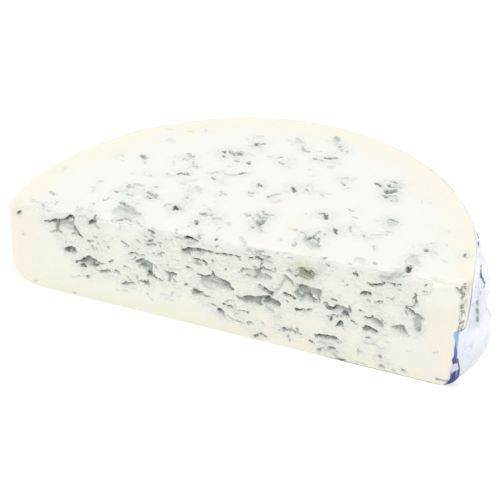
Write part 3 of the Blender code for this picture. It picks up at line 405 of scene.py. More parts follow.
topVeins = [
    (.45, 1, .8, -88.1, 32.8, -87.1, 31.4), (.4, .7, .7, -89.2, 31.3, -88.1, 30.3),
    (.3, 1.5, 1.2, -69, 50, -67.6, 48.2), (.25, .7, .6, -72, 50.5, -70, 45.8, -66.4, 45.3),
    (.62, 2.6, 2.4, -59.8, 52.7, -58, 50.8), (.48, 1.3, 1.1, -56.8, 47.6, -55.9, 46.5),
    (.4, .9, .8, -53, 39.8, -51.3, 37.5), (.52, 1.2, 1.1, -49.6, 38.3, -49.1, 37.3),
    (.35, .9, .9, -57.9, 37.8, -57.5, 37.2), (.5, 1.6, 1.3, -43.7, 42, -42.4, 41),
    (.26, 3, 2.6, -68.4, 26.4, -67.4, 26.8), (.26, 1.4, 1.1, -68.6, 22, -67.6, 18.4),
    (.75, 2, 1.4, -54.8, 27.5, -52.6, 26.8), (.65, 1.1, 1, -54.6, 25.8, -53.7, 23.4),
    (.36, 3, 2.2, -51.8, 29, -49.4, 29.4), (.65, .9, 1.3, -59.5, 22.5, -57.7, 21.6),
    (.36, .9, .8, -57, 22, -55, 23.1), (.42, 1.8, 2.4, -51.9, 20.4, -50.4, 20.6),
    (.46, .8, .7, -50.2, 21.8, -49.9, 17.6), (.42, 1, .9, -47.9, 24.3, -47.4, 24.1),
    (.36, .8, .7, -47, 26.3, -43.6, 26), (.6, 2, 2.8, -44.2, 25.3, -39.8, 23.6),
    (.68, 1.4, 1.5, -43.4, 21.7, -41, 21.6), (.62, .9, 1.1, -40, 21.7, -37.9, 21.8),
    (.62, 1.2, 1, -43.3, 30.1, -42.7, 29.8), (.52, 1.4, .8, -60.2, 13.7, -58.6, 14.8, -58.1, 16.3),
    (.56, 1, .7, -45.4, 15.2, -44.1, 16.3), (.52, 2.2, 2, -84.4, 12.8, -82, 11.5),
    (.52, 1.2, 1, -63.1, 10.4, -62.4, 8.8), (.4, .9, .8, -71.4, 7.9, -70.8, 7.2),
    (.68, .9, 1.3, -82.8, 5, -83.3, 2.7), (.6, 1.2, .8, -83.3, 2.7, -82.2, -.4),
    (.42, 1.3, 1, -78.7, 6.8, -78.1, 5), (.22, 3, 2, -88.4, 4, -86, 4), (.32, 3, 2.4, -67, 2.6, -66.2, 4.4),
    (.5, .9, .8, -61.8, 4.8, -60.2, 3.6), (.75, 1, 1.8, -58.3, 2.6, -57.6, 0),
    (.65, 1.4, 1.7, -52, 14.4, -47.4, 12.6), (.46, 7.4, 5.4, -49, 9.8, -42.6, 8),
    (.5, 1.3, 1, -52.4, 9.3, -51.2, 5.8), (.55, .9, .8, -47, 12.4, -40.6, 8.1),
    (.35, 2.4, 2, -48, 5.2, -42, 4.8), (.92, 1.2, 1.5, -48.6, 1.6, -46.5, 2.4, -44.8, 3.6),
    (.92, 1.5, .7, -44.8, 3.6, -42.5, 2.8, -41, 2.2), (.7, .7, 1.3, -39.6, 3.8, -38, 2.1),
    (.78, 1.3, 1.7, -38.7, 43, -34, 44.2), (.36, .9, .8, -40.4, 41.1, -39.6, 40.9),
    (.52, .9, 1, -36.6, 54.3, -34.6, 51.6), (.62, 1.1, .9, -34.5, 51, -32.1, 50.5),
    (.4, .9, .8, -36, 49, -35, 50.2), (.42, 1.5, 2.1, -25.8, 47.2, -22.6, 48.9),
    (.36, .9, .8, -19.8, 49.8, -18.3, 48.3), (.42, 1.4, 1.8, -18, 48.6, -15, 49.3, -12.4, 50.6),
    (.9, 1.9, 2.1, -12.2, 51.4, -10.9, 51.8), (.72, 1.1, 1.5, -23.7, 45, -21.2, 43.3),
    (.5, .9, .9, -18.8, 42.6, -18.5, 41.7), (.45, .7, .6, -17.1, 42.5, -16.5, 41),
    (.4, .9, .8, -34, 37.2, -33.6, 35.6), (.36, .8, .7, -32.9, 36.8, -31.3, 33.6),
    (.26, 1.1, .9, -32, 38.6, -28.4, 40.8), (.52, .9, .9, -29.3, 32.3, -28.9, 31.1),
    (.3, 4, 3.6, -25.8, 34.6, -24.4, 33.4), (.4, .8, .8, -23, 31.9, -22.4, 31.3),
    (.42, 1.8, 1.5, -14.9, 34.4, -12.7, 33.6), (.56, 1.1, 1, -14.5, 32.2, -14.1, 31.8),
    (.42, .9, .8, -14.8, 27.1, -14.3, 26.9), (.66, 1.4, 1.2, -27, 26.1, -26.5, 25.8),
    (.36, .9, .8, -24.7, 25.3, -23.8, 25), (.42, 1.1, 1, -26.8, 23.6, -25.7, 22),
    (.48, 1.3, .8, -33.8, 17.4, -33, 18.7, -31, 19.3), (1, 2.1, 1.7, -28.5, 18.6, -28.4, 16),
    (.98, 1.8, 1.5, -27.6, 18, -26.8, 16.8), (.78, 1.1, 1.2, -25.8, 17.9, -24.8, 17.3),
    (.5, 1.1, .9, -26.4, 15.2, -25.8, 15.5), (.35, .8, .7, -28.6, 12.2, -28.2, 11.8),
    (.72, 1.5, 1.6, -16.8, 16.8, -12, 17.1), (.36, 1.4, 1.1, -15.8, 15.4, -11.6, 15),
    (.36, 1.8, 2, -14.4, 20.8, -13.2, 19.2), (.3, 1.2, 1, -17.8, 23.1, -16, 22),
    (.58, 1.1, 1.3, -10.7, 14.7, -8.4, 15.5), (.62, 1, 1.1, -7.4, 16, -7.1, 14.4),
    (.4, .9, .8, -7.9, 11.9, -6.7, 10.9), (.92, 1.7, 1.5, -15.8, 10.6, -15.3, 8.6),
    (.46, .9, .8, -17.1, 9.4, -16.6, 9.2), (.4, 1.3, 1.1, -17.9, 6.3, -17.1, 5.9),
    (.46, .9, .8, -5, 9.1, -4.9, 6.3), (.26, 2.6, 2.2, -2.9, 12.9, -1.8, 11.7),
    (.62, 1.3, 1.4, 1, 22.4, 2.8, 21), (.88, 1.1, 1.7, -2.5, 45.9, -2.1, 44.5),
    (.88, 1.3, .7, -1.2, 45.3, .8, 44.3), (.72, 1.9, 1.7, -2.7, 38.2, -2.3, 38.1),
    (.26, 2.4, 2.1, -2.2, 35.7, -1.6, 35.3), (.68, 1.3, 1.3, 5, 37.2, 6.2, 37.8),
    (.46, 1.7, 2, 6.6, 38.9, 8.7, 40.6), (.22, 3.2, 2.8, 9.4, 34.2, 10.4, 35.6),
    (.52, .8, 1, -21, 2.8, -20.7, -.6), (.72, 1.5, 1.3, -11.5, 1.3, -10.5, -.4),
    (.4, .8, .7, -11.8, 4.8, -9.6, 1.8), (.75, 1.4, 1.2, -3.4, .9, -3, 1.2),
    (.5, .8, .7, -31.8, 1.9, -31.1, .4), (.3, 2.4, 2, 6, 4.8, 8.8, 1.2),
    (.78, 1.1, 1.3, 6.8, 25.7, 8.8, 24.3), (.72, 1.1, .9, 8.8, 24.1, 12.7, 24.9),
    (.62, 1, 1, 6.3, 23, 7, 22.3), (.88, 2.2, 2.8, 10.4, 20, 9, 18), (.68, 2.4, 2, 8, 18.4, 8.3, 16.6),
    (.52, 2.6, 2.4, 7.6, 21.5, 10.4, 22.4), (.58, .9, 1, 5.4, 20, 6.8, 16.6, 7, 14.2),
    (.78, 1.1, 1.1, 7, 14, 8.2, 13.4), (.48, 2.6, 2.1, 9.6, 15.3, 12, 12.2),
    (.52, 1, .9, 11, 10.9, 13.4, 12), (.95, .9, 1.8, 11.6, 47.8, 13, 46),
    (.95, 1.8, 1.3, 13, 46, 14.4, 44.5), (.62, 1, .9, 18.5, 50.8, 17.9, 49.2),
    (.68, 1, 1.1, 18.6, 47.6, 19.7, 46.4), (.4, .7, .6, 20.5, 45.4, 20.9, 44.3),
    (.3, .8, .7, 19, 53.8, 19.3, 51.2), (.68, 1.5, .9, 26, 45.8, 26.7, 44.7),
    (.36, .6, .5, 27, 46.4, 29.6, 47.2), (.58, 1.1, 1.4, 41.2, 37.8, 42.7, 37.1),
    (.42, 1, .9, 43.8, 33, 46, 33.1), (.42, 1, .9, 53.8, 33.1, 54.2, 32.9),
    (.4, 1.2, 1, 24.5, 29.2, 24.9, 28.8), (.98, 1.3, 1.8, 30.4, 31.4, 31.8, 32.1, 33.2, 31),
    (.98, 1.8, 1.7, 33.2, 31, 34.2, 29), (.42, .7, .6, 29.6, 28.6, 30, 28),
    (.68, 1, .9, 45.2, 26.1, 45.3, 24.8), (.68, .9, 1.3, 45.3, 24.8, 46, 22.7),
    (.26, 1.2, .9, 46, 28.8, 46.3, 26.8), (.42, .9, .8, 47.4, 20.9, 47.9, 20.7),
    (1, .9, 2, 38.6, 23.3, 40, 21.5), (1, 2, 1, 40, 21.5, 41.5, 19.7), (.36, 1.1, .9, 37.6, 21, 38.2, 20.7),
    (.56, 1.1, 1, 37.1, 17.6, 37.7, 16.7), (.72, 1.5, 1.1, 52.5, 21.3, 52.9, 20.5),
    (.4, .6, .5, 53.2, 19.5, 53.4, 18.3), (.46, .9, 1.2, 54.2, 22.4, 58, 24, 60.8, 24.2),
    (.48, 1, .9, 60, 26.5, 62, 26.8), (.36, 1, .9, 58.1, 22, 58.6, 22),
    (.78, .8, 1.1, 29.6, 15.3, 30.8, 12.2), (.85, 1.3, 1.7, 31, 12.2, 33, 14), (.8, 1.5, 1, 33, 14, 34, 18),
    (.82, 1.3, 1.1, 33.2, 14.1, 35.5, 13), (.85, .9, 1.1, 35.8, 14.3, 36.7, 11, 37.9, 8.9),
    (.46, 4.2, 5.4, 31.6, 11.4, 35.8, 8.4), (.5, 1.1, .9, 34.2, 17.8, 34.8, 17.8),
    (.58, 1.5, 2, 28.5, 8.3, 28.1, 6.4), (.52, .9, .8, 27, 16.2, 29, 15.8),
    (.36, .7, .6, 21.1, 9.7, 21.7, 8.2), (.7, 1.1, 1.3, 41, 1.3, 42.5, 1.6),
    (.4, .9, .7, 51.5, 1.2, 53.5, .6), (.5, .9, .8, 57.8, 1.8, 58.2, 1.6),
    (.22, 4.2, 3.6, 55.6, 4.8, 57, 4), (.42, 1.3, 1.1, 58.6, 15.2, 59.6, 12.2),
    (.52, 1.7, 1.4, 62.1, 4.1, 62.6, 3.9), (.68, 1.1, 1.7, 58.1, 35.7, 60, 36.3),
    (.66, 1.7, 1.1, 60, 36.3, 61.9, 35.4), (.52, .9, .8, 58.1, 34.4, 58.9, 32.8),
    (.46, 3.6, 3.2, 60.4, 34, 60.6, 32.6), (.46, .9, .8, 58.7, 30.7, 60.4, 31.5),
    (.3, .9, .8, 73.1, 19.8, 73.4, 18.8), (.82, 1.3, 2.1, 78.4, 20.6, 78.6, 19),
    (.72, 1.3, 1.1, 79.2, 19.4, 79.8, 19), (.22, 2.8, 2.4, 81.6, 18.2, 82.6, 17.8),
    (.45, .9, .8, 85.2, 24.8, 85.6, 24.5), (.85, 1, 1.1, 94, 21.3, 93.8, 19.9),
    (.85, 1.1, 1, 93.8, 19.9, 94.3, 18.9), (.4, 3.6, 3.8, 74.6, 13.2, 76.8, 9.8),
    (.48, .8, .8, 73.9, 13.3, 72.9, 10.2, 74, 7.8), (.46, 1.1, 1, 74.6, 14.4, 76.4, 14.1),
    (1.25, 2.7, 2, 75.3, 6.6, 75.5, 3), (.42, 1.3, 1.8, 74.4, 2.4, 71.6, .4),
    (.3, 2.4, 2, 73, 1.4, 70, -.6), (.3, 1.3, 1.1, 87.2, 13.6, 87.8, 13.4),
    (.6, 1.1, .9, 98.2, 2.4, 98.5, .6), (.42, 1.1, 1.2, -42.3, 82.6, -41.3, 80.1),
    (.18, 4, 3.4, -54, 68.6, -53, 68.2), (.45, 2.6, 3.6, -41.2, 60.2, -38.9, 57.9),
    (.48, 1.9, 1.7, -41, 55.4, -39.2, 55.1), (.32, 1, .9, -45.6, 56.1, -42.6, 57),
    (.24, 1.5, 1.3, -44.8, 52.4, -43.4, 48.6), (.88, 1.5, 1.3, -26.4, 66.7, -25.7, 66),
    (.92, 1.3, 1.2, -25.7, 63.6, -25, 62.8), (.82, 1.5, 1.7, -24.3, 67.8, -22.6, 66.4),
    (.58, 3, 3.6, -22, 66.4, -19.8, 66.8), (.78, 2.6, 1.1, -19.5, 67.3, -17.7, 65.7),
    (.38, 1.5, 1.3, -21.4, 63.5, -18.6, 62.6), (.68, 1.7, 1.4, -18.9, 60.4, -18.3, 60.1),
    (.42, .7, .7, -29.4, 66.8, -26.4, 63.6), (.88, 2.1, 1.4, -13, 60.3, -12.4, 59.5),
    (.52, 1.1, .9, -20.4, 55.6, -18.7, 55.1), (.82, 2.4, 1.7, -15.2, 77.1, -13.6, 78),
    (.82, 1.1, 1, -13.4, 78.2, -12, 78.3), (.46, 1.5, 1.1, -15.5, 76.2, -16.9, 74.4),
    (.32, 1.5, 1.3, -14.4, 75.4, -12.7, 73.8), (.46, 1.2, 1.1, -11.4, 73.2, -10.7, 72.3),
    (.42, 1.1, 1, -18.7, 81.8, -18.1, 80.8), (.32, 1, .9, -21.4, 80.3, -20.2, 78.8),
    (.28, 1.6, 1.3, -18, 83, -15.2, 83.9), (.36, .7, .6, -15.4, 68.7, -13.7, 66.9),
    (.52, 2.1, 1.9, .5, 87.4, .8, 86.6), (.36, 3.6, 3.6, 1.2, 85.9, 3.2, 83.7),
    (.36, 1.1, .9, -.2, 81.2, .4, 81.2), (.26, 2, 1.7, -2.5, 83.9, -2, 83.7),
    (.56, .8, 1.7, 5.1, 81.2, 6.4, 78.2), (.52, 2.1, 1.1, 6.6, 77.8, 9.4, 77.2),
    (.52, 2.8, 3.2, 16.6, 92.7, 17.8, 91.6), (.36, 2.8, 2.1, 17.2, 89.8, 18.8, 87.4),
    (.42, .9, .8, 12.9, 88.8, 14.8, 89.3), (.62, 1.3, 1.1, 20.8, 85.8, 21.3, 85.5),
    (.72, 1.7, 1.5, 22.5, 82.9, 22.8, 82.2), (.52, .9, .8, 24.5, 82.7, 25.4, 82.1),
    (.36, .6, .5, 21.6, 80.3, 28, 81), (.72, 1.2, 1.5, 17.7, 74.5, 20, 74.5),
    (.74, 1.5, 1.4, 20, 74.5, 22.4, 75.7), (.68, 1.6, 1.4, 13.3, 72.4, 14, 72.3),
    (.52, 1, .9, 16, 72, 18, 72), (.62, 1.1, 1.2, -2.4, 68.6, -.6, 69.7),
    (.82, 1.1, 1.5, .1, 65.7, 2.4, 64.1), (.66, 1.2, 1.1, 4.5, 63.1, 5.1, 62.8),
    (.42, 1, .9, 3.7, 67.7, 4, 67.3), (.42, .9, .8, 16.1, 58.3, 18.4, 59),
    (.42, 1.1, 1.9, 29.9, 60.5, 31.8, 61.2), (.42, 1, .9, 28.6, 59.5, 29.1, 59.6),
    (.72, 1.5, 1.5, 31.4, 56.8, 32.7, 55.2), (.52, .9, .8, 35.3, 53.9, 35.7, 53.3),
    (.88, 1.3, 1.1, 51.1, 64.4, 53.4, 63.6), (.42, 1.1, 1.5, 55, 63.9, 56.8, 63.1),
    (.88, 1.7, 1.6, 50.9, 61.7, 51.2, 61.3), (.52, 3.2, 3, 52.2, 60.5, 55.4, 61.3),
    (.62, 1.1, 1.3, 50, 58.8, 50.4, 56.3), (.9, 3.2, 2.8, 52.1, 56, 54.4, 57.4),
    (.78, 1.9, 1.3, 51.1, 52.4, 52.9, 51.6), (.46, 2.2, 2, 53.6, 53, 55.8, 53.4),
    (.4, 2, 1.7, 56.4, 52.8, 56.9, 50.8), (.62, 1.4, .9, 55.1, 49.4, 57.4, 49.8),
    (.78, 1.1, 1.7, 45.1, 60.7, 47.6, 59.4), (.3, .7, .7, 77.5, 23, 80, 25, 82, 25.2),
    (.3, 1.2, 1.2, 83.2, 34, 83.4, 34), (.35, .8, .8, 67.5, 53, 67.8, 51.5),
    (.35, 1.2, 1.2, 70.9, 52.3, 71.1, 52.3), (.25, .7, .7, 16.5, 70, 26, 71.2),
    (.28, 2.5, 2.5, 22, 67.8, 24, 68.5), (.3, .9, .9, 34.8, 59, 35.5, 62.5),
    (.35, 1.2, 1.2, -32.6, 63.5, -32.4, 63.5), (.3, 1.4, 1.4, 14.7, 62.8, 14.9, 62.8),
    (.3, 1.2, 1.2, -6.3, 68.2, -5, 68.2), (.4, .8, .8, 4.5, 70.5, 5.5, 69),
    (.35, 1, 1, 12.5, 78.8, 14.2, 79.3), (.35, .6, .6, -27.5, 31.5, -26, 28),
    (.4, 1.5, .8, -68, 5, -66, 2.5, -62, .5),
]
veins = {
    "warp": (0.75, 0.35),        # how far their outlines stray, coarsely and finely, in mm
    "warpSize": (3.2, 1.1),      # and over what length
    "merge": 0.2,                # how far apart strokes flow together
    "openFrom": 0.34,            # paler strokes than this are stains and stay level
    "depth": 0.85,               # of a dark stroke, as a share of its width
    "deepest": 3.2,
    "lip": 0.5,                  # how wide the wall of an opening is
    "overhang": 0.5,             # how far openings on the front run up as they go in
    "overhangFrom": (1.5, 6),    # but less within this much of the top
    "roughness": 0.35,           # of the floors of the openings, as a share of their depth
    "roughSize": 0.9,
    "reach": 3.2,                # how far the mould tints the paste round a stroke
    "lipShade": 1.3,                 # painted shade: the upper edge of a stroke, dark under its lip, is told from the lower over this height
    "facing": (0.25, 0.6),       # they end where a face turns away from the cut this much
}


def strokeFields(points, strokes):
    # For each point (across, up or back): how far inside a stroke it is, how dark, how hazy and how deep.
    count = len(points)
    weight, toned, sunk, clear = np.full(count, 1e-12), np.zeros(count), np.zeros(count), np.ones(count)
    for tone, startWidth, endWidth, *route in strokes:
        route = np.array(route).reshape(-1, 2)
        reach = max(startWidth, endWidth) / 2 + 2.5 * veins["reach"]        # it fades to nothing there
        near = np.all((points > route.min(0) - reach) & (points < route.max(0) + reach), axis=1)
        place = points[near]
        if not len(place):
            continue
        within = np.full(len(place), -9.0)
        width = np.full(len(place), startWidth)
        for i, (start, end) in enumerate(zip(route, route[1:])):
            run = end - start
            along = np.clip((place - start) @ run / (run @ run), 0, 1)
            widthHere = startWidth + (endWidth - startWidth) * (i + along) / (len(route) - 1)
            withinHere = widthHere / 2 - np.linalg.norm(place - start - along[:, None] * run, axis=1)
            width = np.where(withinHere > within, widthHere, width)
            within = np.maximum(within, withinHere)
        pull = np.exp(within / veins["merge"])
        depth = np.minimum(veins["depth"] * width * smooth(veins["openFrom"], 0.9, tone), veins["deepest"])
        weight[near] += pull
        toned[near] += pull * tone
        sunk[near] += pull * depth
        clear[near] *= 1 - 0.5 * tone * np.exp(-((np.minimum(within, 0) / veins["reach"]) ** 2))
    inside = veins["merge"] * np.log(weight)
    return inside, toned / weight, 1 - clear, sunk / weight * smooth(-0.1, veins["lip"], inside)


def warped(place, seed):
    # the place, strayed a little so that outlines are ragged
    moved = place.copy()
    for amount, size in zip(veins["warp"], veins["warpSize"]):
        moved += amount * noise.noise_vector(place / size + seed)
    return moved


def noiseAt(co, size, seed=0.0):
    return noise.noise(co / (size * mm) + Vector((seed, 0, 0)))


# The cheese, all in mm.
cheese = {
    "across": 112,               # cells of the even mesh, before it is made finer round the veins
    "back": 58,
    "up": 26,
    "finer": (2.0, 0.9),         # within this many mm of a vein it is made finer, once and then again
    "leftCorner": 4.5,           # rounding of the upright corners and of the upper edges, in mm
    "rightCorner": 4.2,
    "upperEdge": 0.5,
    "frontEdge": (1.6, 3.0),     # of the upper front edge, and how much more at the right end
    "frontEdgeFrom": (72, 88),   # where this begins and ends
    "frontEdgeStray": 1.2,       # and how much it varies
    "tip": 2.2,                  # how far the left tip draws back at its top
    "tipFrom": (96, 103),        # left of here
    "tipBelow": 9,               # and down to here
    "worn": (4.2, 9.0),          # the upper left corner is worn down by this much, over this length
    "crumbly": 5.0,              # how far the upper front edge is crumbly
    "leastChip": 0.15,
    "crumbs": ((1.3, 6, 13), (0.8, 1.9, 17)),        # how deep, how long, and the seed
    # where it is chipped, how widely and how deep
    "chips": ((72, 4.5, 1.9), (-79, 3, 0.7), (-57, 2.2, 0.8), (-45, 3, 0.6), (-11.5, 3, 0.9), (42, 2.5, 0.4)),
    "unevenness": 0.28,          # slow waves of the cut faces
    "unevenSize": 9.0,
    "levelFloor": 4,             # they end this far above the floor
    "levelEnd": (99, 93),        # and here beside the foil
    "topLitTone": 0.78,             # painted light: how dark the veins of the top are beside those of the front, paler for the light that falls on them from above
}


def cellEdges(bm, axis):
    others = [i for i in range(3) if i != axis]
    return [
        edge for edge in bm.edges
        if all(abs(edge.verts[0].co[i] - edge.verts[1].co[i]) < 1e-6 for i in others)
    ]


def roundCorner(x, y, radius):
    # the square corner between the cut and the wall becomes a quarter circle
    size = cheese["leftCorner"] if x < 0 else cheese["rightCorner"]
    beyond, before = abs(x) - (radius - size), size - y
    if min(beyond, before) <= 0:
        return x, y
    pull = max(beyond, before) / math.hypot(beyond, before)
    return math.copysign(radius - size + beyond * pull, x), size - before * pull


def buildWheel():
    bm = bmesh.new()
    bmesh.ops.create_cube(bm, size=2)
    for axis, cells in enumerate((cheese["across"], cheese["back"], cheese["up"])):
        bmesh.ops.subdivide_edges(bm, edges=cellEdges(bm, axis), cuts=cells - 1, use_grid_fill=True)
    for vert in bm.verts:
        u, v, w = vert.co.x, (vert.co.y + 1) / 2, (vert.co.z + 1) / 2
        side = u * math.sqrt(1 - v * v / 2)
        radius, height, _ = wallSection(w, side)
        x, y = radius * side, radius * v * math.sqrt(1 - u * u / 2)
        vert.co = toHalfWheel(*roundCorner(x, y, radius), height)
    upper = [edge for edge in bm.edges if edge.calc_face_angle() > 0.8 and all(map(atTop, edge.verts))]
    bmesh.ops.bevel(
        bm, geom=upper, offset=cheese["upperEdge"] * mm, segments=3, profile=0.5, affect="EDGES", material=-1
    )
    worn, reach = cheese["worn"]
    for vert in bm.verts:
        away = math.hypot(vert.co.x / mm + wheel["radius"], vert.co.y / mm - wheel["frontY"])
        vert.co.z *= 1 - worn / wheel["height"] * (1 - smooth(0, reach, away))
    bmesh.ops.recalc_face_normals(bm, faces=bm.faces)
    return bm


def atTop(vert):
    return abs(vert.co.z / mm - topHeight(vert.co.x / mm)) < 1e-3


def fieldsOf(cos, normals):
    # the stroke fields of the front and of the top, and how much each point faces them
    strayed = np.array([warped(co / mm, Vector((3.1, 7.7, 1.3))) for co in cos])
    facing = np.array([(max(-normal.y, 0), max(normal.z, 0)) for normal in normals])
    places = (strayed[:, (0, 2)], np.stack([strayed[:, 0], strayed[:, 1] - wheel["frontY"]], axis=1))
    fields = []
    for face, strokes in enumerate((frontVeins, topVeins)):
        inside, dark, haze, deep = strokeFields(places[face], strokes)
        above = strokeFields(places[face] + (0, veins["lipShade"]), strokes)[0]
        on = smooth(*veins["facing"], facing[:, face])
        # painted shade: this is near 1 along the upper edge of a stroke and near -1 along its lower edge, to
        # paint openings dark under their lip and pale on their floor
        lipShade = np.clip((inside - above) / veins["lipShade"], -1, 1)
        # painted light: the veins of the top are made paler, for the light that falls on them from above
        pale = cheese["topLitTone"] if face else 1
        fields.append((np.where(on > 0, inside, -9), dark * on * pale, haze * on, deep * on, lipShade * on))
    return fields


def edgeAway(co):
    # how far from the upper front edge, in mm
    return math.hypot(topHeight(co.x / mm) - co.z / mm, co.y / mm - wheel["frontY"])


def roundFront(co):
    # the upper front edge becomes a quarter circle
    x, under, back = co.x / mm, topHeight(co.x / mm) - co.z / mm, co.y / mm - wheel["frontY"]
    size, more = cheese["frontEdge"]
    size += more * smooth(*cheese["frontEdgeFrom"], x) + cheese["frontEdgeStray"] * noiseAt(co, 11, 23)
    if max(under, back) >= size:
        return Vector()
    up, out = size - under, size - back
    pull = 1 - max(up, out) / math.hypot(up, out)
    return Vector((0, out * pull, -up * pull)) * mm


def insideWall(co):
    # how deep under the wall, in mm
    x, back = co.x / mm, (co.y / mm - wheel["frontY"]) * wheel["radius"] / wheel["depth"]
    away = math.hypot(x, back)
    return wallRadius(co.z / mm * wheel["height"] / topHeight(x), x / max(away, 1)) - away


def refine(bm, reach):
    faces = [face for face in bm.faces if face.normal.y < -0.3 or face.normal.z > 0.3]
    centres = [face.calc_center_median() for face in faces]
    fields = fieldsOf(centres, [face.normal for face in faces])
    edges = {}                   # a dictionary keeps them in order, so the mesh comes out the same each run
    for face, centre, front, top in zip(faces, centres, fields[0][0], fields[1][0]):
        if max(front, top) > -reach or edgeAway(centre) < cheese["crumbly"]:
            edges.update(dict.fromkeys(face.edges))
    bmesh.ops.subdivide_edges(bm, edges=list(edges), cuts=1, use_grid_fill=True)


def newPiece(bm, name):
    mesh = bpy.data.meshes.new(name)
    bm.to_mesh(mesh)
    bm.free()
    piece = bpy.data.objects.new(name, mesh)
    bpy.context.scene.collection.objects.link(piece)
    return piece


def addAttribute(piece, name, values):
    layer = piece.data.attributes.new(name, "FLOAT", "POINT")
    layer.data.foreach_set("value", np.asarray(values, np.float32))


def waves(co, normal):
    # the slow waves of the cut faces
    wave = cheese["unevenness"] * (noiseAt(co, cheese["unevenSize"]) + 0.4 * noiseAt(co, 3, 5))
    off = normal * wave * mm * max(-normal.y, normal.z, 0)
    return off * smooth(0, cheese["levelFloor"], co.z / mm) * smooth(*cheese["levelEnd"], co.x / mm)


def chipDepth(co):
    # how deep the upper front edge is chipped here, in mm
    deep = cheese["leastChip"]
    for amount, size, seed in cheese["crumbs"]:
        deep += amount * max(noiseAt(co, size, seed), 0)
    deep += sum(most * math.exp(-((co.x / mm - at) / wide) ** 2) for at, wide, most in cheese["chips"])
    return deep * (1 - smooth(0, cheese["crumbly"], edgeAway(co)))


def tipBack(co, under):
    # how far the left tip draws back here, in mm
    return cheese["tip"] * smooth(*cheese["tipFrom"], -co.x / mm) * smooth(cheese["tipBelow"], 0, under) ** 2


def makeCheese():
    bm = buildWheel()
    for reach in cheese["finer"]:
        refine(bm, reach)
    bm.normal_update()
    cos = [vert.co.copy() for vert in bm.verts]
    normals = [vert.normal.copy() for vert in bm.verts]
    front, top = fieldsOf(cos, normals)
    for i, vert in enumerate(bm.verts):
        co = cos[i]
        under = topHeight(co.x / mm) - co.z / mm
        chip = chipDepth(co)
        off = waves(co, normals[i])
        off += roundFront(co) + Vector((0, chip, -chip)) * mm
        off.x += tipBack(co, under) * mm
        # the openings of the front run back and up, and those of the top straight down
        climb = Vector((0, 1, veins["overhang"] * smooth(*veins["overhangFrom"], under)))
        rough = 1 + veins["roughness"] * noiseAt(co, veins["roughSize"], 9)
        vert.co = co + off + (climb * front[3][i] - Vector((0, 0, top[3][i]))) * rough * mm
    bmesh.ops.triangulate(bm, faces=[face for face in bm.faces if len(face.verts) > 4])
    piece = newPiece(bm, "cheeseHalfWheel")
    onTop = top[0] > front[0]
    for name, field in (("inside", 0), ("dark", 1), ("lipShade", 4)):
        addAttribute(piece, name, np.clip(np.where(onTop, top[field], front[field]), -3, 3))
    addAttribute(piece, "haze", np.maximum(front[2], top[2]))
    addAttribute(piece, "skin", [min(insideWall(co), 30) for co in cos])
    piece.data.shade_smooth()
    return piece


pasteLook = {
    "cream": tint(250, 247, 235),
    "white": tint(248, 248, 242),
    "rim": tint(252, 247, 231),
    "haze": tint(234, 237, 227),
    # crumb: white crumbs of the paste, partly a painted highlight on raised crumbs beside the veins
    "crumb": tint(254, 254, 248),
    "rind": tint(237, 235, 230),
    "husk": tint(225, 224, 209),
    "blotch": tint(118, 122, 98),
    "deep": tint(243, 243, 220),
    "blush": tint(254, 242, 223),
    "sole": tint(122, 120, 100),
    # the mould from pale to dark: its own colour, with painted shade of the openings in the darker end
    "mouldShadeRamp": (
        (0.0, tint(240, 242, 235)), (0.3, tint(218, 222, 216)), (0.5, tint(190, 195, 189)),
        (0.75, tint(150, 155, 147)), (1.0, tint(108, 112, 102)),
    ),
    "roughness": 0.42,
    "relief": (0.35, 0.55),              # how high in mm, and how strong
    "glow": 0.15,                        # how much light goes through the paste, how far in mm and its colour
    "glowDepth": 1.6,
    "glowColour": (1.0, 0.8, 0.55),
    "refraction": 1.42,
}
# Coloured spots: the middle in mm (x, y from the cut, z), their size over x, y, z, how strong and the colour.
pasteSpots = [
    ((35, 0, 42), (10, 9, 7), 0.42, tint(220, 222, 188)),
    ((91, 0, 45), (13, 9, 8), 0.8, tint(255, 253, 240)),
    ((34, 0, 33), (8, 9, 5), 0.3, tint(222, 226, 190)),
    ((22.6, 17.3, 47), (1.6, 1.0, 9), 0.8, tint(236, 230, 168)),
    ((24.8, 17.0, 47), (1.8, 1.1, 9), 0.7, tint(206, 204, 140)),
    ((25, 22, 47), (7, 5, 9), 0.22, tint(250, 246, 212)),
    ((-48.3, 78.8, 44), (1.8, 1.3, 9), 0.75, tint(232, 228, 150)),
    ((-58, 77.8, 44), (2.2, 1.3, 9), 0.6, tint(232, 232, 188)),
    ((88, 0, 49), (1.7, 1.4, 0.9), 0.6, tint(244, 216, 150)),
    ((66, 0, 38), (5, 6, 3), 0.25, tint(214, 228, 214)),
    ((70.5, 0, 47), (5.5, 3, 1.8), 0.45, tint(204, 210, 206)),
]
# These tint the mould.
mouldSpots = [
    ((35.5, 0, 40.5), (7, 6, 4.5), 0.6, tint(112, 118, 76)),
    ((12.5, 0, 44), (6, 5, 3.5), 0.45, tint(126, 132, 92)),
    ((98.5, 0, 48), (4.5, 5, 3.5), 0.4, tint(150, 136, 118)),
]


